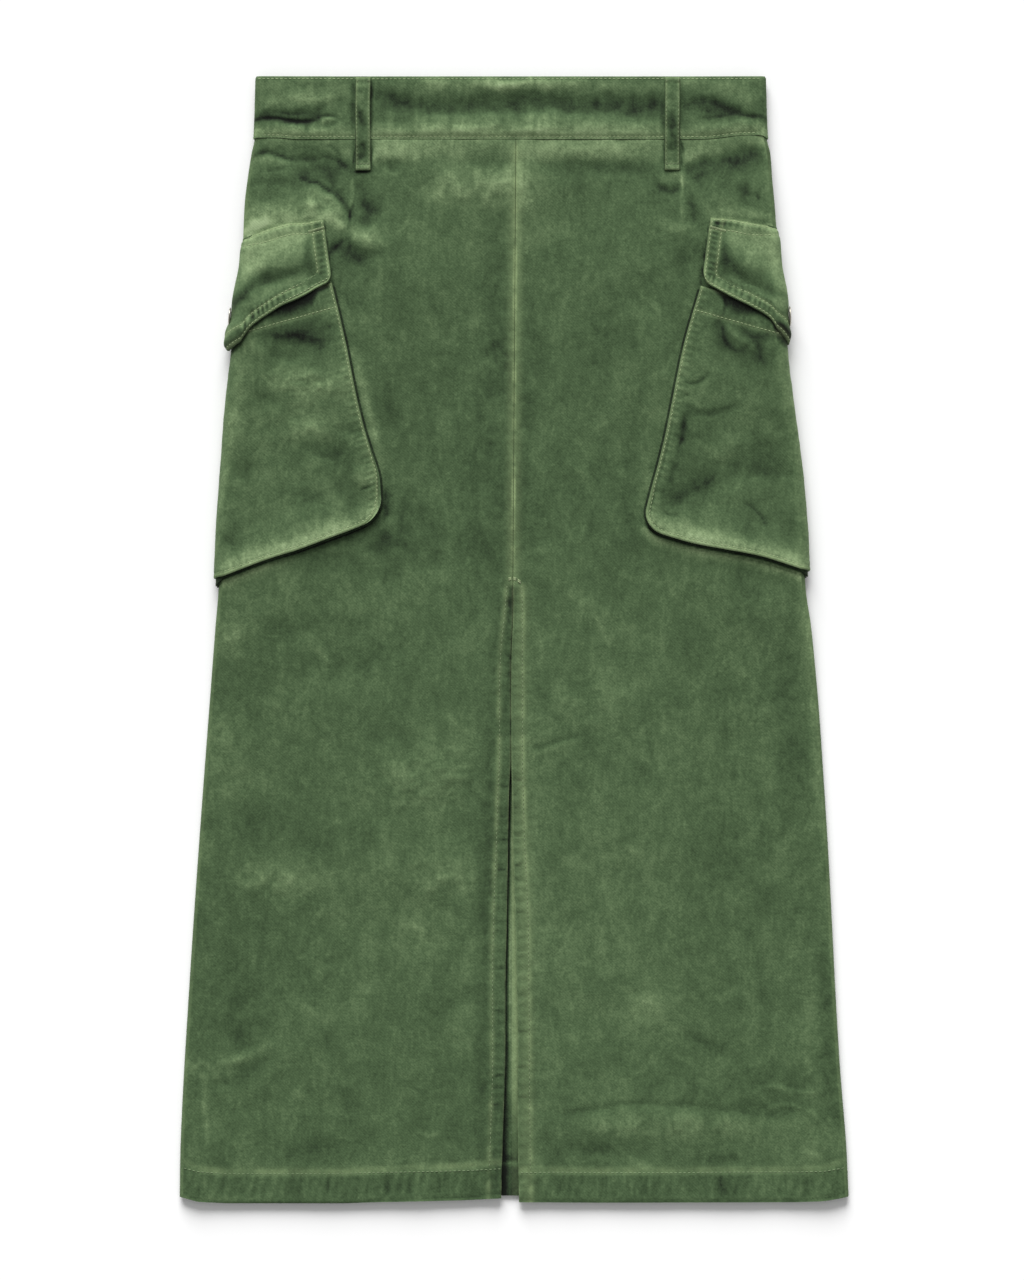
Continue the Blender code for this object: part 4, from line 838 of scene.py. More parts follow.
def thread_mesh(name, grains, material):
    """One mesh of thread grains, each with ten corners and sunk at both ends."""
    verts = []
    faces = []
    for start, end, width in grains:
        run = end - start
        size = np.linalg.norm(run)
        if size < 1e-6:
            continue
        run = run / size
        across = np.cross(UP, run)
        across = across / max(np.linalg.norm(across), 1e-6)
        base = len(verts)
        verts.append(start - UP * width * 0.35)
        for share in (0.22, 0.78):
            place = start + run * size * share
            verts += [place + across * width * 0.5, place + UP * width * 0.55,
                      place - across * width * 0.5, place - UP * width * 0.4]
        verts.append(end - UP * width * 0.35)
        for k in range(4):
            n = (k + 1) % 4
            faces.append((base, base + 1 + k, base + 1 + n))
            faces.append((base + 1 + k, base + 5 + k, base + 5 + n, base + 1 + n))
            faces.append((base + 9, base + 5 + n, base + 5 + k))
    make(name, verts, faces, material)


# ------------------------------------------------------------------ materials
def linear(red, green, blue):
    out = []
    for value in (red, green, blue):
        c = value / 255.0
        out.append(c / 12.92 if c <= 0.04045 else ((c + 0.055) / 1.055) ** 2.4)
    return (*out, 1.0)


class Nodes:
    """Short names for the nodes of one material."""

    def __init__(self, name):
        self.material = bpy.data.materials.new(name)
        self.material.use_nodes = True
        self.tree = self.material.node_tree
        self.shader = self.tree.nodes["Principled BSDF"]
        self.place = self.add("ShaderNodeTexCoord").outputs["Object"]

    def add(self, kind, settings=None, **inputs):
        node = self.tree.nodes.new(kind)
        for key, value in (settings or {}).items():
            setattr(node, key, value)
        for key, value in inputs.items():
            self.feed(node, key, value)
        return node

    def feed(self, node, key, value):
        socket = node.inputs[int(key[1:])] if key[0] == "i" and key[1:].isdigit() else node.inputs[key]
        if isinstance(value, bpy.types.NodeSocket):
            self.tree.links.new(value, socket)
        else:
            socket.default_value = value

    def maths(self, operation, a, b, clamp=False):
        node = self.add("ShaderNodeMath", {"operation": operation, "use_clamp": clamp}, i0=a, i1=b)
        return node.outputs[0]

    def noise(self, place, scale, detail, rough, distortion=0.0):
        node = self.add("ShaderNodeTexNoise", None, Vector=place, Scale=scale, Detail=detail,
                        Roughness=rough, Distortion=distortion)
        return node.outputs[0]

    def attribute(self, name):
        node = self.add("ShaderNodeAttribute", {"attribute_name": name})
        return node.outputs["Fac"]

    def colour(self, factor, low, high):
        """Base colour from low to high by a factor."""
        mix = self.add("ShaderNodeMix", {"data_type": "RGBA"}, Factor=factor, i6=low, i7=high)
        self.feed(self.shader, "Base Color", mix.outputs[2])


# colours of the cloth by tone: the dye in the middle, the darkest stops for painted shadow and the lightest
# for painted highlights
DYE_AND_SHADE = table(
    "tone red green blue",
    (-0.3, 8, 13, 7), (0, 33, 46, 29), (0.3, 56, 75, 48), (0.5, 71, 92, 61), (0.72, 92, 113, 78),
    (1, 126, 147, 106), (1.25, 151, 171, 129),
)


def cloth_material(name):
    """Garment-dyed brushed twill: clouded dye, worn ridges, nap and a fine diagonal weave, plus the painted
    shade and painted highlights carried in the tone attribute.
    """
    n = Nodes(name)
    place = n.place
    upright = n.add("ShaderNodeMapping", None, Vector=place, Scale=(1.0, 0.55, 1.0)).outputs[0]
    brushed = n.add("ShaderNodeMapping", None, Vector=place, Scale=(1.0, 0.3, 1.0)).outputs[0]
    # the tone attribute holds the dye's patches together with painted shade and painted highlights
    factor = n.maths("ADD", n.attribute("tone"), 0.5)
    for vector, scale, detail, rough, warp, share in (
            (upright, 7.0, 3.0, 0.5, 0.8, 0.34),
            (upright, 24.0, 5.0, 0.60, 1.6, 0.50),
            (place, 75.0, 4.0, 0.62, 1.2, 0.46),
            (brushed, 230.0, 3.0, 0.6, 0.6, 0.30),
            (place, 560.0, 2.0, 0.6, 0.0, 0.50)):
        cloud = n.maths("SUBTRACT", n.noise(vector, scale, detail, rough, warp), 0.5)
        factor = n.maths("ADD", factor, n.maths("MULTIPLY", cloud, share))
    # wisps where the dye has run along creases made in the wash
    wisp = n.noise(place, 13.0, 4.0, 0.55, 2.6)
    wisp = n.maths("ABSOLUTE", n.maths("SUBTRACT", wisp, 0.5), 0.0)
    wisp = n.maths("SUBTRACT", 1.0, n.maths("MULTIPLY", wisp, 22.0), True)
    patchy = n.maths("MULTIPLY", n.maths("SUBTRACT", n.noise(place, 9.0, 2.0, 0.5), 0.47), 4.0, True)
    factor = n.maths("ADD", factor, n.maths("MULTIPLY", n.maths("MULTIPLY", wisp, patchy), -0.07))
    low, high = DYE_AND_SHADE[0].tone, DYE_AND_SHADE[-1].tone
    level = n.maths("MULTIPLY", n.maths("SUBTRACT", factor, low), 1.0 / (high - low))
    ramp = n.add("ShaderNodeValToRGB", None, Fac=level)
    while len(ramp.color_ramp.elements) < len(DYE_AND_SHADE):
        ramp.color_ramp.elements.new(0.5)
    for element, row in zip(ramp.color_ramp.elements, DYE_AND_SHADE):
        element.position = (row.tone - low) / (high - low)
        element.color = linear(row.red, row.green, row.blue)
    worn_noise = n.noise(place, 240.0, 3.0, 0.6)
    worn = n.maths("MULTIPLY", n.attribute("worn"), n.maths("ADD", worn_noise, 0.35), True)
    n.colour(worn, ramp.outputs[0], linear(138, 158, 112))
    n.shader.inputs["Roughness"].default_value = 0.92
    n.shader.inputs["Specular IOR Level"].default_value = 0.2
    n.shader.inputs["Sheen Weight"].default_value = 0.18
    n.shader.inputs["Sheen Roughness"].default_value = 0.5
    n.shader.inputs["Sheen Tint"].default_value = linear(170, 190, 150)
    weave = n.add("ShaderNodeTexWave", {"wave_type": "BANDS", "bands_direction": "DIAGONAL"},
                  Vector=place, Scale=260.0, Distortion=1.5, Detail=1.0)
    nap = n.noise(place, 900.0, 3.0, 0.7)
    fine = n.maths("ADD", n.maths("MULTIPLY", weave.outputs["Fac"], 0.25), nap)
    bump = n.add("ShaderNodeBump", None, Height=fine, Strength=0.45, Distance=0.0004)
    crumple = n.noise(upright, 60.0, 5.0, 0.6, 1.0)
    wide = n.add("ShaderNodeBump", None, Height=crumple, Strength=0.55, Distance=0.0016,
                 Normal=bump.outputs[0])
    n.feed(n.shader, "Normal", wide.outputs[0])
    return n.material


def thread_material(name, colour):
    n = Nodes(name)
    cloud = n.noise(n.place, 300.0, 2.0, 0.5)
    n.colour(cloud, linear(*colour), linear(*[value * 0.72 for value in colour]))
    n.shader.inputs["Roughness"].default_value = 0.7
    return n.material


def metal_material(name):
    n = Nodes(name)
    cloud = n.noise(n.place, 900.0, 3.0, 0.6)
    n.colour(cloud, linear(150, 146, 132), linear(196, 192, 180))
    n.shader.inputs["Metallic"].default_value = 1.0
    n.feed(n.shader, "Roughness", n.maths("ADD", n.maths("MULTIPLY", cloud, 0.2), 0.24))
    return n.material


TWILL = cloth_material("brushed_twill")
THREAD = thread_material("thread", (172, 190, 142))
THREAD_DARK = thread_material("thread_dark", (128, 148, 108))
METAL = metal_material("stud_metal")
TAPE = thread_material("zip_tape", (66, 84, 56))


# ------------------------------------------------------------------ fronts
FRONT_NEAR = (0.0, 0.4, 1.1, 2.0, 3.1, 4.4, 5.7, 7.0, 8.2, 9.0, 9.8, 11.0, 12.5, 14.5, 17.0, 20.0)
FRONT_CELLS = 97
NOWHERE = 99.0
ARCS = (np.arange(7, 0, -1) / 8.0)[None, :] * QUARTER
FRONT_ROWS = np.r_[BAND_DEPTH + SEAM, 48.4, np.linspace(49.6, 852.6, 497), 854.3, 855.0]


def pocket_outside(side, x, drop):
    """Distance past the pocket's edge and the flap's, and whether the lower edge is the nearer."""
    across, fall = to_pocket(side, around(side, x, drop), drop)
    ahead = across - along(PATCH_SIDES, side, fall)
    below = fall - along(PATCH_BOTTOM, side, across)
    patch = -rounded(-ahead, -below, POCKET_CORNER)
    patch = np.where((fall < 0.0) | (patch < 0.0), NOWHERE, patch)
    flap_side = along(FLAP_SIDES, side, fall)
    flap_edge = np.where((fall > -50.0) & (fall < 0.0), np.abs(across - flap_side), NOWHERE)
    over = along(FLAP_EDGES, "top_" + side, across) - fall
    flap_top = np.where((over > -0.5) & (across < flap_side), over, NOWHERE)
    return patch, flap_edge, flap_top, ease(below - ahead, -3, 6)


def front_relief(side, x, drop, e):
    """Height of the front's outer face over its solid, and its tone and wear."""
    tone, height = stroke_fields(FRONT_STROKES, x, drop)
    height = sunk(height, 1.1)
    slit = ease(drop, SLIT_TOP, 6)
    seed = pick(side, 3, 11)
    # centre seam with its allowances pressed flat below
    seam = (1 - slit) * ease(drop, 46, 10)
    height += seam * (0.45 * fade(e, 3.5, 5) - 0.75 * bell(e / 0.7))
    height += seam * 0.12 * bell(e, 3, 3) * ripple(drop, 9.0, seed)
    # slit edge: doubled cloth, a stitch line and puckers between the two
    stitch = stitch_inset(side, drop)
    height += slit * (0.5 * fade(e - stitch, 0.8, 3.2) - 0.5 * bell(e / 0.7))
    height -= slit * 0.45 * bell(e, stitch, 0.9)
    inside = ease(e / 1.5) * fade(e - stitch, -1, 3)
    pucker = ripple(drop, 8.5, seed + 20)
    height += slit * inside * 0.22 * pucker
    height += slit * 0.16 * bell(e - stitch, 4, 4) * ripple(drop + 3.0, 8.5, seed + 20)
    # hem: doubled cloth below the stitch line
    low = straight(FRONT_HEM, "drop", x)
    up = low - drop
    height += 0.5 * fade(up - HEM_DEPTH, 0.5, 4.5) - 0.6 * bell(up / 0.8)
    height -= 0.5 * bell(up, HEM_STITCH, 0.9)
    inside_hem = ease(up, 1, 5) * fade(up, 19, 3.5)
    fine = ripple(x + 0.25 * drop, 8.0, seed + 40)
    height += inside_hem * 0.22 * fine
    height += 0.14 * bell(up, 27, 4) * ripple(x, 8.0, seed + 40)
    # the seam under the waistband rolls down a little; the cloth just below it is painted lighter, a
    # painted highlight where it rises towards the light, and the seam gets a thin painted shade line
    height += 0.3 * fade(drop, 47.9, 14) - 0.2 * bell(drop, 47.9, 0.6)
    tone += 0.25 * fade(drop, 58, 14) - 0.06 * bell(drop, 47.8, 0.5)
    # fine crumple all over
    height += 0.32 * noise(x, drop, 34.0, 5) + 0.16 * noise(x, drop, 14.0, 6)
    height += 0.07 * noise(x, drop, 6.5, 7)
    broken = 0.6 + 0.5 * noise(0.0 * x, drop, 9.0, 8) + 0.3 * noise(0.0 * x, drop, 3.0, 9)
    worn = seam * (0.75 * bell(e, 0.5, 0.9) * broken + 0.26 * bell(e, 1.5, 3.6))
    right = pick(side, 0.0, 1.0)
    worn += slit * broken * (0.42 * bell(e - stitch, 0.5, 1.8) + 0.35 * bell(e / 0.7))
    worn += slit * right * 0.2 * bell(e, 6.5, 5.5)
    worn += (0.26 + 0.16 * noise(x, drop, 8.0, 10)) * bell(up, 23.9, 2.6)
    # slit: painted shade in the band between the left front's edge and its stitches and beyond them,
    # puckers painted lighter and darker as light and shade, a painted shadow line along the left front's
    # edge, the right front a little lighter
    tone += slit * inside * (-0.09 + 0.08 * right + 0.06 * pucker)
    tone += slit * (0.04 * right * bell(e, 16, 5) - 0.5 * (1 - right) * bell(e / 0.6))
    tone -= 0.07 * slit * bell(e - stitch, 6, 4) * (1 - right)
    # hem: its puckers painted lighter and darker as light and shade, and a painted shade line along its
    # folded lower edge
    tone += inside_hem * (-0.05 + 0.1 * fine + 0.05 * ripple(x, 4.4, seed + 43))
    tone -= 0.2 * bell(up / 0.7)
    # painted shadow where the cloth goes under a pocket or a flap: a dark line below the pocket's
    # bottom, with a long dark tail towards the left pocket's front corner; elsewhere below the bottoms
    # the cloth is painted lighter, against the shadow the pocket casts there
    outside, flap_edge, flap_top, under = pocket_outside(side, x, drop)
    near = ease(x, -215, 90) if side == "left" else 0.0
    reach = ease(outside, 1.6, 2) * fade(outside, 4, 9)
    tail = 0.74 * near * np.exp(-outside / 4.2) - 0.42 * (1 - near) * reach
    tone -= under * (0.95 * bell(outside, 1.2, 1.1) + tail)
    # thinner painted shadow along the pockets' sides
    line = 0.1 if side == "right" else 0.12 + 0.43 * ease(drop, 262, 40)
    tone -= (1 - under) * line * bell(outside / 0.8)
    # painted light just above the flap's sewn edge, against the shade it casts there, and painted shadow
    # beside the flap's sides
    tone += 0.34 * bell(flap_top / 1.3) - 0.4 * bell(flap_edge / 0.8)
    # painted highlight down the right side fold
    rim = bell(along(SIDE_FOLDS, side, drop), x, 6) * fade(drop, 385, 50)
    tone += 0.26 * right * rim
    # a further thin painted shadow below the right pocket's bottom, near the fold
    tone -= 0.28 * right * under * bell(outside, 4.4, 0.6) * ease(x, 165, 25)
    return height, tone, np.clip(worn, 0.0, 1.0)


SLIT_STITCHES = table(
    "drop left right",
    (382, 4, 6.3), (420, 7, 7.6), (462, 8.4, 8.8), (512, 8.4, 8.4), (566, 8.6, 8.6), (641, 10, 9.8),
    (728, 9.6, 8.8), (797, 9.4, 9.3), (850, 9.4, 8.8),
)


def stitch_inset(side, drop):
    return along(SLIT_STITCHES, side, drop)


def hem_pull(drop):
    """Share of the hem's line that a row of the panel follows."""
    return ease(drop, HEM_PULL_FROM, LENGTH - HEM_PULL_FROM)


def hemmed(points, drop):
    """Points of the front, with the lower rows drawn to the line of its hem."""
    low = straight(FRONT_HEM, "drop", points[..., 0]) - LENGTH
    points[..., 1] -= low * hem_pull(drop)
    return points


def front_place(side, e, drop, out=0.0):
    """Point, tone, wear and relief of the front's outer face e mm in from its centre edge."""
    s = flat_width(side, along(FRONT_EDGES, side, drop), drop) - e + QUARTER
    flat = skirt_point(side, s, drop, 0.0)
    height, tone, worn = front_relief(side, flat[..., 0], drop, e)
    relief = height * ease(s, QUARTER, 10)
    return hemmed(skirt_point(side, s, drop, relief + out), drop), tone, worn, relief


def front(side):
    drops = FRONT_ROWS[:, None]
    width = flat_width(side, along(FRONT_EDGES, side, drops), drops)
    near = np.array(FRONT_NEAR)[None, :]
    steps = np.linspace(0.0, 1.0, FRONT_CELLS + 1)[None, 1:]
    flats = beside(near + 0.0 * width, near[:, -1:] + (width - near[:, -1:]) * steps)
    point, tone, worn, relief = front_place(side, flats, drops + 0.0 * flats)
    level = 0.0 * (ARCS + drops)
    depth = np.where(drops > LENGTH - HEM_DEPTH, 2.0, 1.0) * CLOTH
    facing = (flats < SLIT_FACING) & (drops > SLIT_TOP - 1.0)
    deep = np.maximum(np.where(facing, 2 * CLOTH, depth + 0.0 * flats), 0.5 - relief)
    places = ARCS + level
    edge = hemmed(wrapped(side, 1.0, places, drops, level), drops)
    below = hemmed(skirt_point(side, width - flats + QUARTER, drops, -deep), drops)
    edge_below = hemmed(wrapped(side, 1.0, places, drops, level - depth), drops)
    edge_tone, _ = stroke_fields(FRONT_STROKES, edge[..., 0], LENGTH / 2.0 - edge[..., 1])
    edge_worn = np.full(edge_tone.shape, 0.12)
    return shell("cloth_front_" + side, beside(point, edge), beside(below, edge_below)[::2, ::2],
                 TWILL, beside(tone, edge_tone), beside(worn, edge_worn))


# ------------------------------------------------------------------ backs
def back(side):
    drops = np.r_[BAND_DEPTH + SEAM, 48.6, np.linspace(51.0, 849.0, 257), 853.0, 855.0][:, None]
    width = flat_width(side, CENTRE_BACK_X + SIGN[side] * BACK_SEAM / 2.0, drops)
    near = np.array([0.0, 0.5, 1.5, 3.0, 5.0, 7.5, 9.0, 9.6, 12.0])[None, :]
    steps = np.linspace(0.0, 1.0, 43)[None, 1:]
    flats = beside(near + 0.0 * width, 12.0 + (width - 12.0) * steps)
    low = (BACK_HEM - LENGTH) * hem_pull(drops)
    hem = ease(drops - LENGTH + HEM_DEPTH, -1, 1.5)
    seed = pick(side, 31, 37)
    places = -(width - flats + QUARTER)
    flat = skirt_point(side, places, drops, 0.0)
    tone, height = stroke_fields(BACK_STROKES, flat[..., 0], drops + 0.0 * flats)
    up = BACK_HEM - drops - low
    seam = 0.5 * bell(flats / 0.8)
    hem_line = 0.4 * bell(up, HEM_STITCH, 0.9)
    ripples = 0.12 * (1 + ripple(flat[..., 0], 8.5, seed)) * bell(up, 11, 9)
    dents = np.clip(-height, 0.0, 1.0) + 0.06 * (1 + noise(flat[..., 0], drops, 27.0, seed))
    dents = (dents + seam + hem_line + ripples) * ease(width, flats, 12)
    outer = skirt_point(side, places, drops, -dents)
    allowance = fade(flats, 8.8, 0.8) * (0.9 - 0.5 * hem)
    allowance *= (1 - 0.35 * bell(flats / 0.9)) * ease(drops, 62, 4)
    twist = 0.12 * ripple(drops + 0.0 * flats, 11.0, seed + 2) * bell(flats, 4, 5)
    deep = CLOTH * (1 + hem) + allowance + np.where(hem > 0.5, 0.0, twist)
    inner = skirt_point(side, places, drops, -deep)
    level = 0.0 * (ARCS + drops)
    grids = []
    for flat_part, out in ((outer, level), (inner, level - CLOTH * (1 + hem))):
        whole = beside(flat_part, wrapped(side, -1.0, ARCS + level, drops, out))
        whole[..., 1] -= low
        grids.append(whole)
    pad = np.zeros((len(drops), ARCS.size + 1))
    # a paler strip beside the right back's centre seam, fading towards the hem
    inside_pale = 0.55 * bell(flats, 4.5, 5.5) * (flats < 9.3) * (SIGN[side] > 0)
    inside_pale *= 1 - 0.8 * ease(drops, 765, 50)
    # in the slit: painted shadow beside the left front's edge, widening towards the hem, then painted
    # light on the back beyond it, which stops towards the hem; darker over the turned-up hem, with a
    # painted highlight and a painted shade line at its upper edge
    ahead = flat[..., 0] - along(FRONT_EDGES, "left", drops)
    reach = 1.8 + 3.6 * ease(drops, 700, 90)
    inside_tone = 0.34 * ease(ahead, 1.3, 1.2) * fade(drops, 765, 45) - 0.3 * hem
    inside_tone -= 0.66 * fade(ahead, 0.7, reach) + 0.08
    inside_tone += 0.07 * noise(flat[..., 0], 0.06 * drops, 1.4, seed + 5)
    inside_tone += 0.16 * bell(drops, 830, 2.2) - 0.6 * bell(drops, 826, 1.7)
    back_worn = 0.4 * bell(flats / 2.2) + 0.3 * bell(up, 23.5, 3)
    return shell("cloth_back_" + side, grids[1], grids[0], TWILL,
                 beside(inside_tone + 0.0 * flats, pad), beside(inside_pale + 0.0 * flats, pad),
                 beside(tone, pad), beside(back_worn, pad))


# ------------------------------------------------------------------ waistband
BAND_ROWS = np.r_[0.0, 0.5, 1.2, 2.2, np.linspace(3.6, 45.0, 37), 45.6, 46.4, 47.1, BAND_DEPTH]


def band_relief(x, drop):
    tone, height = stroke_fields(BAND_STROKES, x, drop)
    height = sunk(height, 1.2)
    height -= 0.9 * fade(drop / 1.6) + 0.15 * ease(drop, 46.6, 0.8)
    height -= 0.35 * ease(drop, 42, 5)
    height -= 0.35 * bell(drop, 1.9, 0.7) + 0.3 * bell(drop, 45.7, 0.7)
    down = ripple(x, 7.5, 51)
    height += 0.12 * down * bell(drop, 39, 7)
    height += 0.14 * ripple(x, 6.5, 57) * bell(drop, 6, 4)
    height += 0.22 * noise(x, drop, 21.0, 15) + 0.10 * noise(x, drop, 9.0, 16)
    grain = noise(x, 0.16 * drop, 2.6, 17) + 0.6 * noise(x, 0.1 * drop, 6.0, 18)
    height += 0.05 * grain
    worn = 0.2 * bell(drop, 44.6, 1) + 0.15 * bell(drop / 1.0)
    # ripples along the lower seam painted lighter and darker as light and shade; the nap's grain varies the
    # tone. Painted highlight on the band's lower part where it rises towards the seam, and a painted shade
    # line under the top edge
    tone += 0.06 * down * bell(drop, 36, 10) + 0.075 * grain
    tone += 0.16 * ease(drop, 33, 8) - 0.1 * bell(drop, 1.4, 0.7)
    tone += 0.14 * ease(drop, 39.5, 3)
    return height, tone, worn


def band_line(side, drops, columns, edge):
    """Places along one half of the waistband from an edge at x to the side seam."""
    steps = np.linspace(1.0, 0.0, columns)[None, :]
    return beside(flat_width(side, edge, drops) * steps + QUARTER, ARCS + 0.0 * drops)


def band_front():
    drops = BAND_ROWS[:, None]
    halves = []
    for side in SIDES:
        s = band_line(side, drops, 61, 0.0)
        flat = skirt_point(side, s, drops, 0.0)
        height, tone, worn = band_relief(flat[..., 0], drops + 0.0 * s)
        quiet = ease(s, QUARTER, 8)
        proud = BAND_PROUD + height * quiet - (1 - quiet) * 0.9 * fade(drops / 1.6)
        inside = -CLOTH + 0.6 * (drops < 1.0) + 0.0 * s
        halves.append((wrapped(side, 1.0, s, drops, proud), wrapped(side, 1.0, s, drops, inside),
                       beside(tone, tone[:, -1:]), beside(worn, np.zeros(drops.shape))))
    outer, inner, tone, worn = (beside(left[:, ::-1], right[:, 1:]) for left, right in zip(*halves))
    return shell("cloth_waistband_front", outer, inner[::2, ::2], TWILL, tone, worn)


def band_back(side):
    drops = np.r_[0.0, 0.6, 1.6, np.linspace(4.0, 44.0, 11), 46.4, 47.0, BAND_DEPTH][:, None]
    s = band_line(side, drops, 41, CENTRE_BACK_X + SIGN[side] * SEAM / 2.0)
    flat = skirt_point(side, -s, drops, 0.0)
    roll = 0.7 * fade(drops / 1.6) + 0.35 * bell(drops, 45.6, 0.8)
    dents = roll + 0.08 * (1 + ripple(flat[..., 0], 8.0, 61)) * ease(s, QUARTER, 8)
    outer, inner = (wrapped(side, -1.0, s, drops, level)[:, ::-1] for level in (
        BAND_PROUD - dents, -CLOTH + 0.6 * (drops < 1.0) + 0.0 * s))
    worn = 0.35 * bell(drops, 46.6, 1.6) + 0.0 * outer[..., 0]
    return shell("cloth_waistband_back_" + side, outer, inner[::2, ::2], TWILL, None, worn)


# ------------------------------------------------------------------ belt loops
def loop_under(face, drop):
    return along(LOOP_ROWS, face, drop)


def loop_sway(side, drops):
    """The loop's centre line is not quite straight."""
    return 0.35 * noise(drops, 0.0 * drops, 24.0, 77 + len(side))


def loop(face, side):
    sign = 1.0 if face == "front" else -1.0
    drops = np.r_[1.0, 1.3, 2.0, np.linspace(3.5, 69.2, 47), 70.2, 70.8, LOOP_END][:, None]
    share = np.array([-1.0, -0.94, -0.85, -0.72, -0.5, -0.2, 0.0, 0.2, 0.5, 0.72, 0.85, 0.94, 1.0])
    width = LOOP_WIDTH * (1 + 0.02 * noise(drops, 0.0 * drops, 9.0, 71 + len(side)))
    across = share[None, :] * width / 2.0
    x = LOOP_X[side] + across + loop_sway(side, drops)
    inset = LOOP_WIDTH / 2.0 - np.abs(across)
    relief = -0.55 * bell(inset / 0.5) - 0.22 * bell(inset, 1.7, 0.6)
    ends = np.minimum(drops - 1.0, LOOP_END - drops)
    relief -= 0.6 * bell(ends / 0.5) + 0.35 * bell(LOOP_END - drops, 5, 0.7)
    relief -= 0.3 * bell(drops, 5.4, 0.7)
    relief += 0.12 * ripple(drops, 6.5, 81 + len(side)) * bell(inset, 1, 1.6)
    tone, height = stroke_fields(LOOP_STROKES, x, drops + 0.0 * x)
    under = loop_under(face, drops)
    s = sign * around(side, x, drops)
    scale = 1.0 if face == "front" else 0.4
    relief = scale * (relief + height) - (1 - scale) * 0.3
    outer = skirt_point(side, s, drops, under + LOOP_PLIES + relief)
    inner = skirt_point(side, s, drops, under + 0.0 * x)[::2, ::2]
    tone += 0.22 * ease(drops, 63, 3)
    worn = 0.45 * bell(inset, 1, 0.6) + 0.3 * bell(ends / 1.2)
    # painted shade along the loop's long edges and across its lower end
    tone -= 0.45 * bell(inset / 0.6) + 0.3 * bell((LOOP_END - drops) / 0.6)
    tone += 0.10 * noise(x, drops, 5.0, 83) + 0.12 * noise(x, drops, 2.4, 84)
    return shell("cloth_belt_loop_" + face + "_" + side, outer, inner, TWILL,
                 tone if face == "front" else None, np.clip(worn, 0, 1))


# ------------------------------------------------------------------ pockets
def patch_half(side, fall, back_side):
    front_half = along(PATCH_SIDES, side, fall)
    back_half = along(PATCH_SIDES, "back", fall)
    return np.where(back_side, back_half, front_half)


def patch_edge(side, fall, back_side):
    half = patch_half(side, fall, back_side)
    past = np.clip(fall - (PATCH_REFERENCE - POCKET_CORNER), 0.0, POCKET_CORNER)
    return half - POCKET_CORNER + np.sqrt(np.maximum(0.0, POCKET_CORNER ** 2 - past ** 2))


def patch_top(side, across, fall):
    s, _ = from_pocket(side, across, fall)
    half = patch_half(side, fall, across < 0.0)
    sag = ease(half - np.abs(across), 10, 30)
    sag *= ease(PATCH_REFERENCE - fall, 12, 30) * ease(fall, 22, 30)
    sag *= ease(s - QUARTER, 2, 24)
    return PATCH_TOP - PATCH_SAG * sag


def patch_place(side, s, fall):
    """Across and drop at a place on the patch, whose lower part follows its bottom edge."""
    true_fall = fall + 0.0 * s
    across = 0.0 * s
    for _ in range(6):
        across = across_at(side, s, true_fall)
        bottom = along(PATCH_BOTTOM, side, across)
        share = ease(fall, 110, PATCH_REFERENCE - 110.0)
        true_fall = fall + (bottom - PATCH_REFERENCE) * share
    return across, from_pocket(side, across, true_fall)[1]


def patch_inset(side, across, fall):
    """Distance in from the patch's sewn edge, the corners rounded."""
    side_in = patch_half(side, fall, across < 0.0) - np.abs(across)
    return rounded(side_in, PATCH_REFERENCE - fall, POCKET_CORNER)


def patch_stitch(fall):
    return 1.6 + 1.4 * ease(fall, 150, 30)


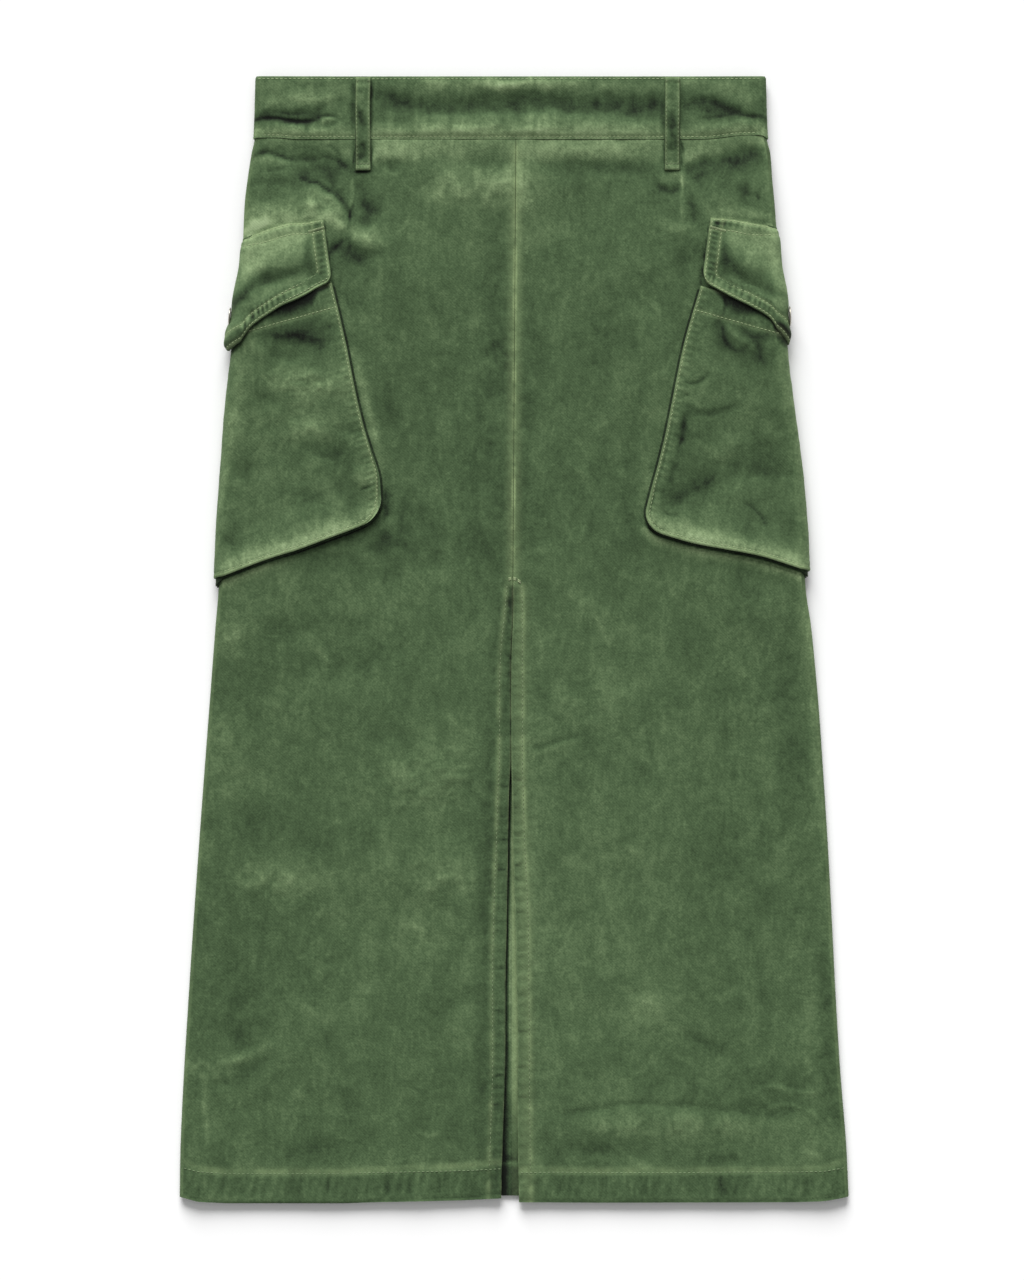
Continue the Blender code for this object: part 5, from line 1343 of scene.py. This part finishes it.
def pocket_face(side, s, fall):
    """Drop, height over the skirt, relief, tone and wear of the patch's outer face."""
    fall = fall + 0.0 * s
    across, drop = patch_place(side, s, fall)
    top = patch_top(side, across, fall)
    inset = patch_inset(side, across, fall)
    from_low = PATCH_REFERENCE - fall
    side_in = patch_half(side, fall, across < 0) - np.abs(across)
    on_front = ease(s, 2, 6)
    up = s > -QUARTER * 0.2
    seed = pick(side, 91, 97)
    flat = skirt_point(side, s, drop, top)
    tone, height = stroke_fields(POCKET_STROKES[side], flat[..., 0], drop)
    tone *= ease(s, -4.9, 4)
    height = sunk(height, 0.8)
    run = np.where(from_low < side_in, across, fall)
    pucker = ripple(run, 5.6, seed) * bell(inset, 4.5, 3.6) * ease(inset / 2.0)
    relief = -0.5 * bell(inset / 0.5) - 0.3 * bell(inset, patch_stitch(fall), 0.7)
    relief -= 0.7 * bell(fall / 0.6) + 0.3 * bell(fall, MOUTH_STITCH, 0.9)
    # the lower rim rides up over the folded gusset; the band along it is painted lighter, a painted
    # highlight where it faces the light, with a painted shade line at the stitches and a slight painted
    # highlight up the sides
    rim = fade(from_low, 1.5, 15)
    height += 0.9 * rim - 0.35 * bell(from_low, 26, 10) * ease(inset, 8, 12)
    tone += on_front * 0.50 * bell(from_low, 1.5, 11)
    tone -= on_front * 0.10 * bell(from_low, 3.2, 0.9)
    tone += on_front * 0.09 * bell(side_in, 3.5, 5) * ease(fall, 12, 8)
    # painted highlight down the side fold, strong on the right
    tone += pick(side, 0.04, 0.26) * bell(s / 5.0)
    height = height * on_front + 0.26 * pucker + 0.26 * noise(across, fall, 19.0, seed + 3)
    height += 0.16 * noise(across, fall, 8.0, seed + 5) + 0.06 * noise(across, fall, 3.6, seed + 6)
    hem = ripple(across, 5.2, seed + 9) * bell(fall, 17, 6)
    height += 0.16 * hem
    # deepest shade where the flap stands off the pocket, near its front corner
    under_flap = fall - flap_low(side, np.abs(across), fall)
    near = ease(across, 22, 26)
    wide = 3.0 + 8.8 * near - 7.0 * ease(across, 62, 8)
    dark = 0.62 + 0.66 * near
    if side == "right":
        wide = 2.6 + 9.4 * bell(across, 41, 13) + 4.0 * bell(across, 5, 5)
        dark = 0.7 + 0.4 * ease(across, 20, 16) + 0.4 * bell(across, 5, 6)
    tone -= dark * np.clip(1 - np.maximum(under_flap, 0.0) / wide, 0.0, 1.0)
    # puckers and hem ripples painted lighter and darker as light and shade, and a painted shade line along
    # the patch's edge
    tone += 0.12 * pucker + 0.08 * hem - pick(side, 0.3, 0.1) * bell(side_in / 0.45)
    if side == "right":
        # the folded gusset shows as a dark strip down the front edge
        strip = ease(fall, 95, 25) * ease(across, 58, 8)
        tone -= strip * (0.1 * fade(inset, 2.8, 0.8) + 0.2 * bell(inset, 3.5, 0.6))
        relief -= 0.35 * strip * bell(inset, 3.5, 0.6)
    worn = 0.42 * bell(inset, 1, 1.2) + 0.2 * bell(fall, 0.5, 1)
    worn += 0.22 * bell(fall, 19, 1.8)
    relief += np.where(up, height, np.minimum(height, 0.0) * 0.5)
    return drop, top, relief * np.where(up, 1.0, 0.7), tone, np.clip(worn, 0.0, 1.0)


def pocket(side):
    falls = np.r_[0.0, 0.5, 1.4, np.linspace(3.0, 177.0, 132), 178.4, 179.8, 181.2, 182.6, 184.0,
                  185.4, 186.8, 188.2, 189.4, 190.6, 191.4, 192.1, 192.7, 193.0][:, None]
    front_edge, _ = from_pocket(side, patch_edge(side, falls, False), falls)
    back_edge, _ = from_pocket(side, -patch_edge(side, falls, True), falls)
    ahead = np.r_[0.0, 0.004, 0.009, 0.015, 0.021, 0.028, 0.036, 0.046, 0.058,
                  np.linspace(0.07, 1.0, 77)][None, :]
    behind = np.r_[np.linspace(0.06, 0.94, 14), 0.97, 0.99, 1.0][None, :]
    wrap = np.linspace(0.9, -1.0, 20)[None, :]
    s = beside(front_edge + (QUARTER - front_edge) * ahead, QUARTER * wrap + 0.0 * falls,
               -QUARTER + (back_edge + QUARTER) * behind)
    drop, top, relief, tone, worn = pocket_face(side, s, falls)
    outer = skirt_point(side, s, drop, top + relief)
    inner = skirt_point(side, s, drop, np.minimum(top - PATCH_CLOTH, top + relief - 0.5))[::2, ::2]
    return shell("cloth_pocket_" + side, outer, inner, TWILL, tone, worn)


GUSSET_TOP = 2 * SEAM + 2 * GUSSET_CLOTH
GUSSET_SECTION = table(
    "inset out",
    (-GUSSET_PEEK, SEAM), (GUSSET_DEPTH, SEAM), (GUSSET_DEPTH, GUSSET_TOP),
    (-GUSSET_PEEK * 0.4, GUSSET_TOP), (-GUSSET_PEEK * 0.4, GUSSET_TOP - GUSSET_CLOTH),
    (GUSSET_DEPTH - 1.0, GUSSET_TOP - GUSSET_CLOTH), (GUSSET_DEPTH - 1.0, SEAM + GUSSET_CLOTH),
    (-GUSSET_PEEK, SEAM + GUSSET_CLOTH),
)


def gusset(side):
    """Bellows strip folded in two under the patch edge, along three sides."""
    slide = TILT_SIN / TILT_COS
    base = PATCH_REFERENCE - POCKET_CORNER
    falls = np.linspace(3.0, base, 44)
    turns = np.radians(np.linspace(10.0, 90.0, 9))
    corner = float(patch_half(side, base, False)) - POCKET_CORNER
    back_corner = -float(patch_half(side, base, True)) + POCKET_CORNER

    def bend(middle, ahead, turn):
        cos, sin = math.cos(turn), math.sin(turn)
        return (middle + ahead * POCKET_CORNER * cos, base + POCKET_CORNER * sin,
                -ahead * cos + sin ** 2 * slide, -sin)

    start, _ = from_pocket(side, corner, PATCH_REFERENCE)
    finish, _ = from_pocket(side, back_corner, PATCH_REFERENCE)
    places = np.r_[start + (QUARTER - start) * np.linspace(0.04, 0.96, 28),
                   QUARTER * np.linspace(1.0, -1.0, 17),
                   -QUARTER + (finish + QUARTER) * np.linspace(0.2, 0.9, 5)]
    low = across_at(side, places, PATCH_REFERENCE)
    # each station: across, fall and the way in from the edge
    stations = [(float(patch_half(side, f, False)), f, -1.0, 0.0) for f in falls]
    stations += [bend(corner, 1.0, turn) for turn in turns]
    stations += [(across, PATCH_REFERENCE, slide, -1.0) for across in low]
    stations += [bend(back_corner, -1.0, turn) for turn in turns[::-1]]
    stations += [(-float(patch_half(side, f, True)), f, 1.0, 0.0) for f in falls[::-1]]
    across, fall, run_across, run_fall = np.array(stations).T
    points = []
    for row in GUSSET_SECTION:
        reach = fall + run_fall * row.inset
        s, _ = from_pocket(side, across + run_across * row.inset, reach)
        if row.inset < 0.0:
            reach += pick(side, 5.0, 3.4) * bell(s / 4.0)
        _, drop = patch_place(side, s, reach)
        points.append(skirt_point(side, s, drop, row.out))
    grid = np.stack(points, axis=1).reshape(-1, 3)
    size = len(GUSSET_SECTION)
    faces = rings(len(stations), size)
    for first in (0, (len(stations) - 1) * size):
        faces += [tuple(first + k for k in quad) for quad in ((0, 1, 6, 7), (1, 2, 5, 6), (2, 3, 4, 5))]
    thing = make("cloth_gusset_" + side, grid, faces, TWILL, 40.0)
    # painted shade: the whole strip is darkened, as it lies in the shadow under the patch's edge
    paint(thing, "tone", np.full(len(grid), -0.5))
    return thing


# ------------------------------------------------------------------ flaps
FLAP_CORNER = 5.5
FLAP_INNER_CORNER = 14.0
FLAP_CLOSER = 1.4
FLAP_SWELL = table(
    "fall height",
    (-60, 0.4), (-50, 0.5), (-43, 1.5), (-35, 2.7), (-28, 3), (-18, 1.9), (-12, 2.3), (-5, 4.2), (0, 4.8),
    (8, 4.6), (30, 4.5),
)


def flap_low(side, across, fall):
    """Lower edge of the flap, its front corner rounded."""
    low = along(FLAP_EDGES, "low_" + side, np.abs(across))
    low += pick(side, 1.2, 0.0) * ease(across, 38, 14)
    tuck = np.clip(FLAP_CORNER - (along(FLAP_SIDES, side, fall) - across), 0.0, FLAP_CORNER)
    return low - FLAP_CORNER + np.sqrt(FLAP_CORNER ** 2 - tuck ** 2)


def sewn_edge(side, across):
    return along(FLAP_EDGES, "top_" + side, np.abs(across))


def flap_second(across):
    """Inset of the second row of stitches along the flap's sewn edge."""
    return 9.2 - 4.4 * fade(across, 15, 30)


def flap_under(side, s, across, fall):
    over = patch_top(side, across, np.maximum(fall, 0.0)) + SEAM
    at_fold = fade(s, QUARTER, 12)
    start = -24.0 - 14.0 * at_fold
    return FLAP_SEAT + (over - FLAP_SEAT) * ease(fall, start, -4.0 - start)


def flap_grid(side, steps, rows):
    """Places of the flap: steps along each block and rows from 0 at the top to 2 at the tip."""
    front_steps, wrap_steps, back_steps = steps
    total = len(front_steps) + len(wrap_steps) + len(back_steps)
    fall = np.full((len(rows), total), FLAP_TURN)
    r = np.array(rows)[:, None]
    for _ in range(24):
        head = fall[:, :len(front_steps)]
        edge, _ = from_pocket(side, along(FLAP_SIDES, side, head), head)
        s_front = edge + (QUARTER - edge) * np.array(front_steps)[None, :]
        s_wrap = QUARTER * np.array(wrap_steps)[None, :] + 0.0 * r
        tail = fall[:, total - len(back_steps):]
        edge, _ = from_pocket(side, -along(FLAP_SIDES, "back", tail), tail)
        s_back = -QUARTER + (edge + QUARTER) * np.array(back_steps)[None, :]
        s = beside(s_front, s_wrap, s_back)
        across = across_at(side, s, fall)
        top = sewn_edge(side, across)
        low = flap_low(side, across, fall)
        turn = np.minimum(FLAP_TURN, low - 3.0)
        target = np.where(r <= 1.0, top + (turn - top) * r, turn + (low - turn) * (r - 1.0))
        fall += (target - fall) * 0.7
    return s, across, fall


def flap_face(side, s, across, fall):
    """Drop, underside, swell, relief, tone and wear of the flap."""
    _, drop = from_pocket(side, across, fall)
    under = flap_under(side, s, across, fall)
    low = flap_low(side, across, fall)
    half = np.where(across < 0.0, along(FLAP_SIDES, "back", fall), along(FLAP_SIDES, side, fall))
    side_in = half - np.abs(across)
    low_in = (low - fall) * 0.95
    top_in = fall - sewn_edge(side, across)
    edge_in = np.minimum(side_in, low_in)
    low_far = low_in + FLAP_CLOSER * ease(low_in, 3, 5)
    inner_in = np.where(across > 0.0, rounded(side_in, low_far, FLAP_INNER_CORNER),
                        np.minimum(side_in, low_far))
    inner_in = np.where(low_in < 3.0, edge_in, inner_in)
    near = np.minimum(edge_in, top_in)
    on_front = ease(s, 1, 6)
    up = s > -QUARTER * 0.2
    seed = pick(side, 101, 107)
    flat = skirt_point(side, s, drop, under)
    tone, height = stroke_fields(FLAP_STROKES[side], flat[..., 0], drop)
    tone *= ease(s, -4.9, 4)
    height = sunk(height, 0.9)
    second = flap_second(across)
    relief = -0.8 * bell(edge_in / 0.6) - 1.1 * fade(top_in / 3.0)
    relief -= 0.3 * bell(edge_in, FLAP_OUTER_ROW, 0.7)
    relief -= 0.45 * bell(inner_in, FLAP_INNER_ROW, 0.8)
    relief -= 0.35 * bell(top_in, second, 0.8)
    relief -= 0.25 * bell(top_in, 1.4, 0.7)
    # the outline at the fold leaves the skirt without a step
    relief -= 1.3 * fade(top_in / 11.0) * fade(s, QUARTER, 10)
    run = np.where(side_in < low_in, fall, across)
    gathered = 0.6 + 0.75 * fade(s, 20, 28) if side == "left" else 0.85
    pucker = ripple(run, 4.5, seed)
    pucker = (pucker - 0.7 * np.maximum(-pucker, 0.0) ** 2) * bell(edge_in, 5.6, 3.3) * gathered
    top_pucker = ripple(across, 4.8, seed + 4) * bell(top_in, 0.5 * second, 3)
    top_pucker *= 0.5 + 0.9 * (side == "right") * ease(across, 52, 12)
    # it swells off the skirt, dips before the pocket's mouth and rides up over it
    ahead = ease(across, 34, 30)
    lower = 3.0 + 5.0 * ahead if side == "left" else 4.8
    swell = along(FLAP_SWELL, "height", fall - lower) - under
    swell *= ease(side_in, 1, 10) * ease(s, QUARTER, 16)
    # its lowest tip stands off the fold
    curl = 1 - pick(side, 0.6, 1.4) * fade(low_in / 5.0)
    curl *= ease(1 + 1.4 * s / QUARTER)
    swell += pick(side, 3.6, 1.2) * curl * ease(fall, 4, 14) * bell(s / 14.0)
    height = height * on_front + 0.36 * pucker + 0.26 * top_pucker
    height += 0.14 * noise(across, fall, 14.0, seed + 7) + 0.08 * noise(across, fall, 5.0, seed + 8)
    relief += np.where(up, height, np.minimum(height, 0.0) * 0.5)
    # painted highlights: the upper part where it rises from the sewn edge, a band above the lower rows, the
    # band along the lower edge and the strip by the fold
    start, span = pick(side, (-42.0 - 7.0 * ahead, 13.0 + 19.0 * ahead), (-47.0, 28.0))
    pale = 0.35 * ease(top_in, -1, 2) * fade(fall - low, start, span) * ease(side_in, 10, 8)
    inner = bell(low_in, 13.5, 4) * ease(side_in, 8, 6)
    pale += pick(side, 0.04, 0.14) * inner
    pale += pick(side, 0.16, 0.28) * bell(low_in, 3.2, 3) * (0.4 + 0.6 * ahead)
    rim = pick(side, 0.18, 0.3) * bell(s, 2, 6) * fade(fall, -6, 12)
    tone += on_front * pale + rim
    # painted shade at the tip's lower edge by the fold, on the puckers with painted light, in a band inside
    # the front edge, between the rows, in dashes along the inner row and as a line along the edge
    tip = ease(fall, -2, 9) * bell(s, 1, 7)
    tone -= 0.5 * tip * bell(low_in, 1, 3)
    tone += on_front * (0.26 * pucker + 0.17 * top_pucker)
    tone -= 0.22 * on_front * bell(side_in, 15, 3) * ease(fall, -42, 12) * fade(fall - low, -14, 6)
    tone -= 0.09 * bell(edge_in, 5.6, 2.4) * on_front
    dashes = 0.5 + 0.5 * ripple(run, 3.4, seed + 9)
    tone -= 0.3 * on_front * dashes * bell(inner_in, 11.2, 1) * (side_in > low_in)
    tone -= 0.35 * bell(edge_in / 0.45) * on_front
    worn = 0.5 * bell(near, 1.2, 1.1) + 0.2 * bell(top_in / 0.8)
    worn += 0.36 * bell(inner_in, 9.4, 1.3) * (edge_in > 3.0)
    worn += 0.3 * bell(top_in, second, 1.2)
    return drop, under, swell, relief * np.where(up, 1.0, 0.7), tone, np.clip(worn, 0.0, 1.0)


def flap(side):
    front_steps = np.r_[0.0, 0.006, 0.014, 0.024, 0.036, 0.05, np.linspace(0.06, 0.99, 150)]
    wrap_steps = np.linspace(1.0, -1.0, 17)
    back_steps = np.r_[np.linspace(0.03, 0.95, 25), 0.975, 0.99, 1.0]
    rows = np.r_[0.0, 0.012, 0.03, 0.05, np.linspace(0.075, 1.0, 38), np.linspace(1.05, 1.9, 18),
                 1.93, 1.96, 1.98, 1.992, 2.0]
    s, across, fall = flap_grid(side, (front_steps, wrap_steps, back_steps), rows)
    drop, under, swell, relief, tone, worn = flap_face(side, s, across, fall)
    outer = skirt_point(side, s, drop, under + swell + FLAP_PLIES + relief)
    inner = skirt_point(side, s, drop, under + np.maximum(swell, 0.0))[::2, ::2]
    return shell("cloth_flap_" + side, outer, inner, TWILL, tone, worn)


# ------------------------------------------------------------------ hard pieces
CAP_PROFILE = table(
    "radius height",
    (6.9, 0.02), (7.35, 0.12), (7.5, 0.35), (7.5, 0.62), (7.25, 0.9), (6.8, 1.12), (6.3, 1.22), (5.9, 1.12),
    (5.5, 1.06), (4.6, 1.18), (3.2, 1.32), (1.6, 1.39), (0.4, 1.4),
)


def snap(side):
    seat = PATCH_TOP + 2 * SEAM + FLAP_PLIES
    centre, above, below = (
        skirt_point(side, 0.0, SNAP_DROP[side] + d, seat) for d in (0.0, -5.0, 5.0))
    slope = math.atan2(below[0] - above[0], above[1] - below[1])
    axis = SIGN[side] * np.array([math.cos(slope), math.sin(slope), 0.0])
    run = np.array([-axis[1], axis[0], 0.0])
    sides = 48
    verts = []
    for row in CAP_PROFILE:
        for k in range(sides):
            turn = 2 * math.pi * k / sides
            verts.append(centre + axis * row.height + run * row.radius * math.cos(turn)
                         + UP * row.radius * math.sin(turn))
    faces = [tuple(range(sides))] + rings(len(CAP_PROFILE), sides)
    faces.append(tuple((len(CAP_PROFILE) - 1) * sides + k for k in range(sides)))
    thing = make("stud_cap_" + side, verts, faces, METAL, 50.0)
    return thing


def zip_strip():
    drops = np.linspace(6.0, 210.0, 103)[:, None]
    x = CENTRE_BACK_X + np.array(ZIP_PLACES)[None, :] + 0.0 * drops
    coil = 0.25 * bell(x, CENTRE_BACK_X, 1.6) * (1 + np.sin(2 * math.pi * drops / 4.0))
    grids = []
    for level in (-CLOTH - SEAM + 0.0 * x, -CLOTH - SEAM - ZIP_TAPE - np.minimum(coil, 0.4)):
        halves = [skirt_point(side, -around(side, x, drops), drops, level) for side in SIDES]
        grids.append(np.where((x < 0.0)[..., None], halves[0], halves[1]))
    thing = shell("zip_tape_back", grids[1], grids[0][::2, ::2], TAPE)
    return thing


# ------------------------------------------------------------------ stitches
def front_thread():
    grains = []
    for side in SIDES:
        drops = np.linspace(386.0, 831.0, 400)
        line = front_place(side, stitch_inset(side, drops), drops, THREAD_RISE)[0]
        grains += thread_line(line, 3.4, 2.7, 0.55)
        x = np.linspace(-251.0, -9.0, 300) if side == "left" else np.linspace(4.5, 251.0, 300)
        low = straight(FRONT_HEM, "drop", x)
        rows = low - HEM_STITCH - (low - LENGTH) * hem_pull(low - HEM_STITCH)
        rows += 0.35 * noise(x, 0.0 * x, 40.0, 120)
        edge = along(FRONT_EDGES, side, rows)
        line = front_place(side, np.abs(x - edge), rows, THREAD_RISE)[0]
        grains += thread_line(line, 3.4, 2.7, 0.55)
    return grains


def band_thread():
    grains = []
    for drop, start in ((1.9, 120), (45.7, 124)):
        for side in SIDES:
            x = np.linspace(-194.0, 1.5, 300) if side == "left" else np.linspace(1.5, 189.5, 300)
            rows = drop + 0.25 * noise(x, 0.0 * x, 50.0, start)
            height, _, _ = band_relief(x, rows)
            line = skirt_point(side, around(side, x, rows), rows, BAND_PROUD + height + THREAD_RISE)
            grains += thread_line(line, 3.3, 2.6, 0.5)
    return grains


def loop_thread():
    grains = []
    for side in SIDES:
        for inset in (-4.5, 4.5):
            drops = np.linspace(2.0, 70.4, 60)
            x = LOOP_X[side] + inset + loop_sway(side, drops)
            line = skirt_point(side, around(side, x, drops), drops,
                               loop_under("front", drops) + LOOP_PLIES - 0.12)
            grains += thread_line(line, 3.2, 2.5, 0.45)
        for drop in (3.4, 66.2, 69.8):
            x = LOOP_X[side] + np.linspace(-5.2, 5.2, 12)
            rows = drop + 0.0 * x
            line = skirt_point(side, around(side, x, rows), rows,
                               loop_under("front", rows) + LOOP_PLIES - 0.15)
            grains += thread_line(line, 2.6, 2.2, 0.5)
    return grains


def pocket_thread(side):
    grains = []
    falls = np.linspace(2.0, PATCH_REFERENCE - POCKET_CORNER, 160)
    across = patch_half(side, falls, False) - patch_stitch(falls)
    corner = float(patch_half(side, PATCH_REFERENCE, False)) - POCKET_CORNER
    turns = np.radians(np.linspace(2.0, 88.0, 24))
    radius = POCKET_CORNER - POCKET_STITCH
    bottom = np.linspace(corner, POCKET_CORNER - 80.0, 240)
    across = np.r_[across, corner + radius * np.cos(turns), bottom]
    falls = np.r_[falls, PATCH_REFERENCE - POCKET_CORNER + radius * np.sin(turns),
                  np.full(len(bottom), PATCH_REFERENCE - POCKET_STITCH)]
    mouth = np.linspace(float(patch_half(side, 19.0, False)) - 2.0, -40.0, 200)
    for places, reach in ((across, falls), (mouth, np.full(len(mouth), MOUTH_STITCH))):
        s, _ = from_pocket(side, places, reach)
        drop, top, relief, _, _ = pocket_face(side, s, reach)
        keep = s > -QUARTER * 0.6
        line = skirt_point(side, s, drop, top + relief + THREAD_RISE)[keep]
        grains += thread_line(line, 3.1, 2.5, 0.5)
    return grains


def flap_thread(side):
    """Two rows round the free edges and two along the sewn one."""
    grains = []
    for inset, radius, closer in ((FLAP_OUTER_ROW, 3.7, 0.0), (FLAP_INNER_ROW, 4.4, FLAP_CLOSER)):
        def depth_at(row):
            return along(FLAP_EDGES, "low_" + side, np.abs(row)) - (inset - closer) / 0.95

        start = along(FLAP_EDGES, "top_" + side, 80.0) + (2.0 if inset < 5.0 else 9.0)
        column = np.linspace(float(start), -10.0, 120)
        ahead = along(FLAP_SIDES, side, column) - inset
        row = np.linspace(90.0, -12.0, 400)
        column = column[column < np.interp(ahead, row[::-1], depth_at(row)[::-1]) - radius]
        ahead = along(FLAP_SIDES, side, column) - inset
        row = row[row < ahead[-1] - radius]
        depth = depth_at(row)
        # the corner is one bend from the front edge into the lower one
        bend = np.linspace(0.0, 1.0, 8)[1:-1]
        start, middle, end = (1 - bend) ** 2, 2 * bend * (1 - bend), bend ** 2
        across = np.r_[ahead, start * ahead[-1] + middle * ahead[-1] + end * row[0], row]
        falls = np.r_[column, start * column[-1] + middle * depth[0] + end * depth[0], depth]
        grains += flap_row(side, across, falls)
    across = np.linspace(pick(side, 84.0, 74.0), -30.0, 160)
    top = sewn_edge(side, across)
    for falls in (top + 1.4, top + flap_second(across)):
        grains += flap_row(side, across, falls)
    return grains


def flap_line(side, across, falls, rise):
    """Places on the flap's outer face, and how far round each of them is."""
    s, _ = from_pocket(side, across, falls)
    drop, under, swell, relief, _, _ = flap_face(side, s, across, falls)
    return skirt_point(side, s, drop, under + swell + FLAP_PLIES + relief + rise), s


def flap_row(side, across, falls):
    line, s = flap_line(side, across, falls, 0.14)
    return thread_line(line[s > -QUARTER * 0.6], 3.1, 2.5, 0.5)


def bar_tacks():
    """Short dense bars: slit top and the front corners of the flaps."""
    grains = []
    turn = np.linspace(0.0, 1.0, 9)
    for shift in (0.0, 0.8, 1.6):
        x = -5.0 + 10.6 * turn
        rows = 380.9 + shift + 2.6 * turn ** 2 - 1.6 * np.sin(math.pi * turn)
        parts = []
        for side in SIDES:
            inset = np.maximum(np.abs(x - along(FRONT_EDGES, side, rows)), 0.1)
            parts.append(front_place(side, inset, rows, 0.35)[0])
        line = np.where((x < -0.8)[:, None], parts[0], parts[1])
        grains += thread_line(line, 3.6, 3.4, 0.6)
    for side in SIDES:
        start = pick(side, 84.6, 74.4)
        for k in range(14):
            across = start - 11.5 * k / 13.0
            falls = np.array([-43.4, -41.2]) - pick(side, 0.0, 3.5)
            line, _ = flap_line(side, np.array([across, across]), falls, 0.3)
            grains.append((line[0], line[1], 0.55))
    return grains


# ------------------------------------------------------------------ assembly
def declare(thing, node):
    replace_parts(thing, node)


for hand in SIDES:
    declare(front(hand), "front_" + hand)
    declare(back(hand), "back_" + hand)
    declare(band_back(hand), "waistband_back_" + hand)
    declare(loop("front", hand), "belt_loop_front_" + hand)
    declare(loop("back", hand), "belt_loop_back_" + hand)
    declare(pocket(hand), "pocket_" + hand)
    declare(gusset(hand), "pocket_gusset_" + hand)
    declare(flap(hand), "flap_" + hand)
    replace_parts(snap(hand), "snap_" + hand)
declare(band_front(), "waistband_front")
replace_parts(zip_strip(), "back_zip")

thread_mesh("thread_front", front_thread(), THREAD_DARK)
thread_mesh("thread_waistband", band_thread(), THREAD)
thread_mesh("thread_loops", loop_thread(), THREAD_DARK)
for hand in SIDES:
    thread_mesh("thread_pocket_" + hand, pocket_thread(hand), THREAD)
    thread_mesh("thread_flap_" + hand, flap_thread(hand), THREAD)
thread_mesh("thread_bar_tacks", bar_tacks(), THREAD)


# ------------------------------------------------------------------ floor, light and camera
# One pixel covers PIXEL metres of the skirt. VIEW_SHIFT is the way in pixels, across and down, from
# the middle of the waist edge to the middle of the view.
FLOOR_REACH = 6.0
FLOOR_LEVEL = -0.0002
PIXEL = 0.00076
VIEW_HEIGHT = 1280
VIEW_SHIFT = (-2.0, 562.5)
EYE_HEIGHT = 4.0
SENSOR = 36.0


def floor():
    """A pale matt sheet just under the skirt."""
    mesh = bpy.data.meshes.new("floor")
    mesh.from_pydata([(x * FLOOR_REACH, y * FLOOR_REACH, FLOOR_LEVEL)
                      for x, y in ((-1, -1), (1, -1), (1, 1), (-1, 1))], [], [(0, 1, 2, 3)])
    n = Nodes("floor_paper")
    n.colour(n.noise(n.place, 3.0, 2.0, 0.5), (0.93, 0.93, 0.93, 1.0), (0.95, 0.95, 0.95, 1.0))
    n.shader.inputs["Roughness"].default_value = 1.0
    n.shader.inputs["Specular IOR Level"].default_value = 0.0
    mesh.materials.append(n.material)
    thing = bpy.data.objects.new("floor", mesh)
    bpy.context.collection.objects.link(thing)


def sun(name, side, height, softness, power):
    """Soft light from beyond the waist: degrees round from it and degrees up."""
    data = bpy.data.lights.new(name, "SUN")
    data.angle = math.radians(softness)
    data.energy = power
    thing = bpy.data.objects.new(name, data)
    thing.rotation_euler = (math.radians(90.0 - height), 0.0, math.radians(180.0 - side))
    bpy.context.collection.objects.link(thing)


floor()
sun("key", -7.0, 26.0, 42.0, 5.1)
world = bpy.data.worlds.new("studio")
world.use_nodes = True
world.node_tree.nodes["Background"].inputs[0].default_value = (1.0, 1.0, 1.0, 1.0)
world.node_tree.nodes["Background"].inputs[1].default_value = 0.40
bpy.context.scene.world = world
bpy.context.scene.view_settings.view_transform = "Standard"
bpy.context.scene.view_settings.look = "None"

camera = bpy.data.cameras.new("camera")
camera.sensor_fit = "VERTICAL"
camera.sensor_height = SENSOR
camera.lens = SENSOR * EYE_HEIGHT / (VIEW_HEIGHT * PIXEL)
camera.clip_end = 20.0
eye = bpy.data.objects.new("camera", camera)
eye.location = (VIEW_SHIFT[0] * PIXEL, LENGTH / 2000.0 - VIEW_SHIFT[1] * PIXEL, EYE_HEIGHT)
bpy.context.collection.objects.link(eye)
bpy.context.scene.camera = eye
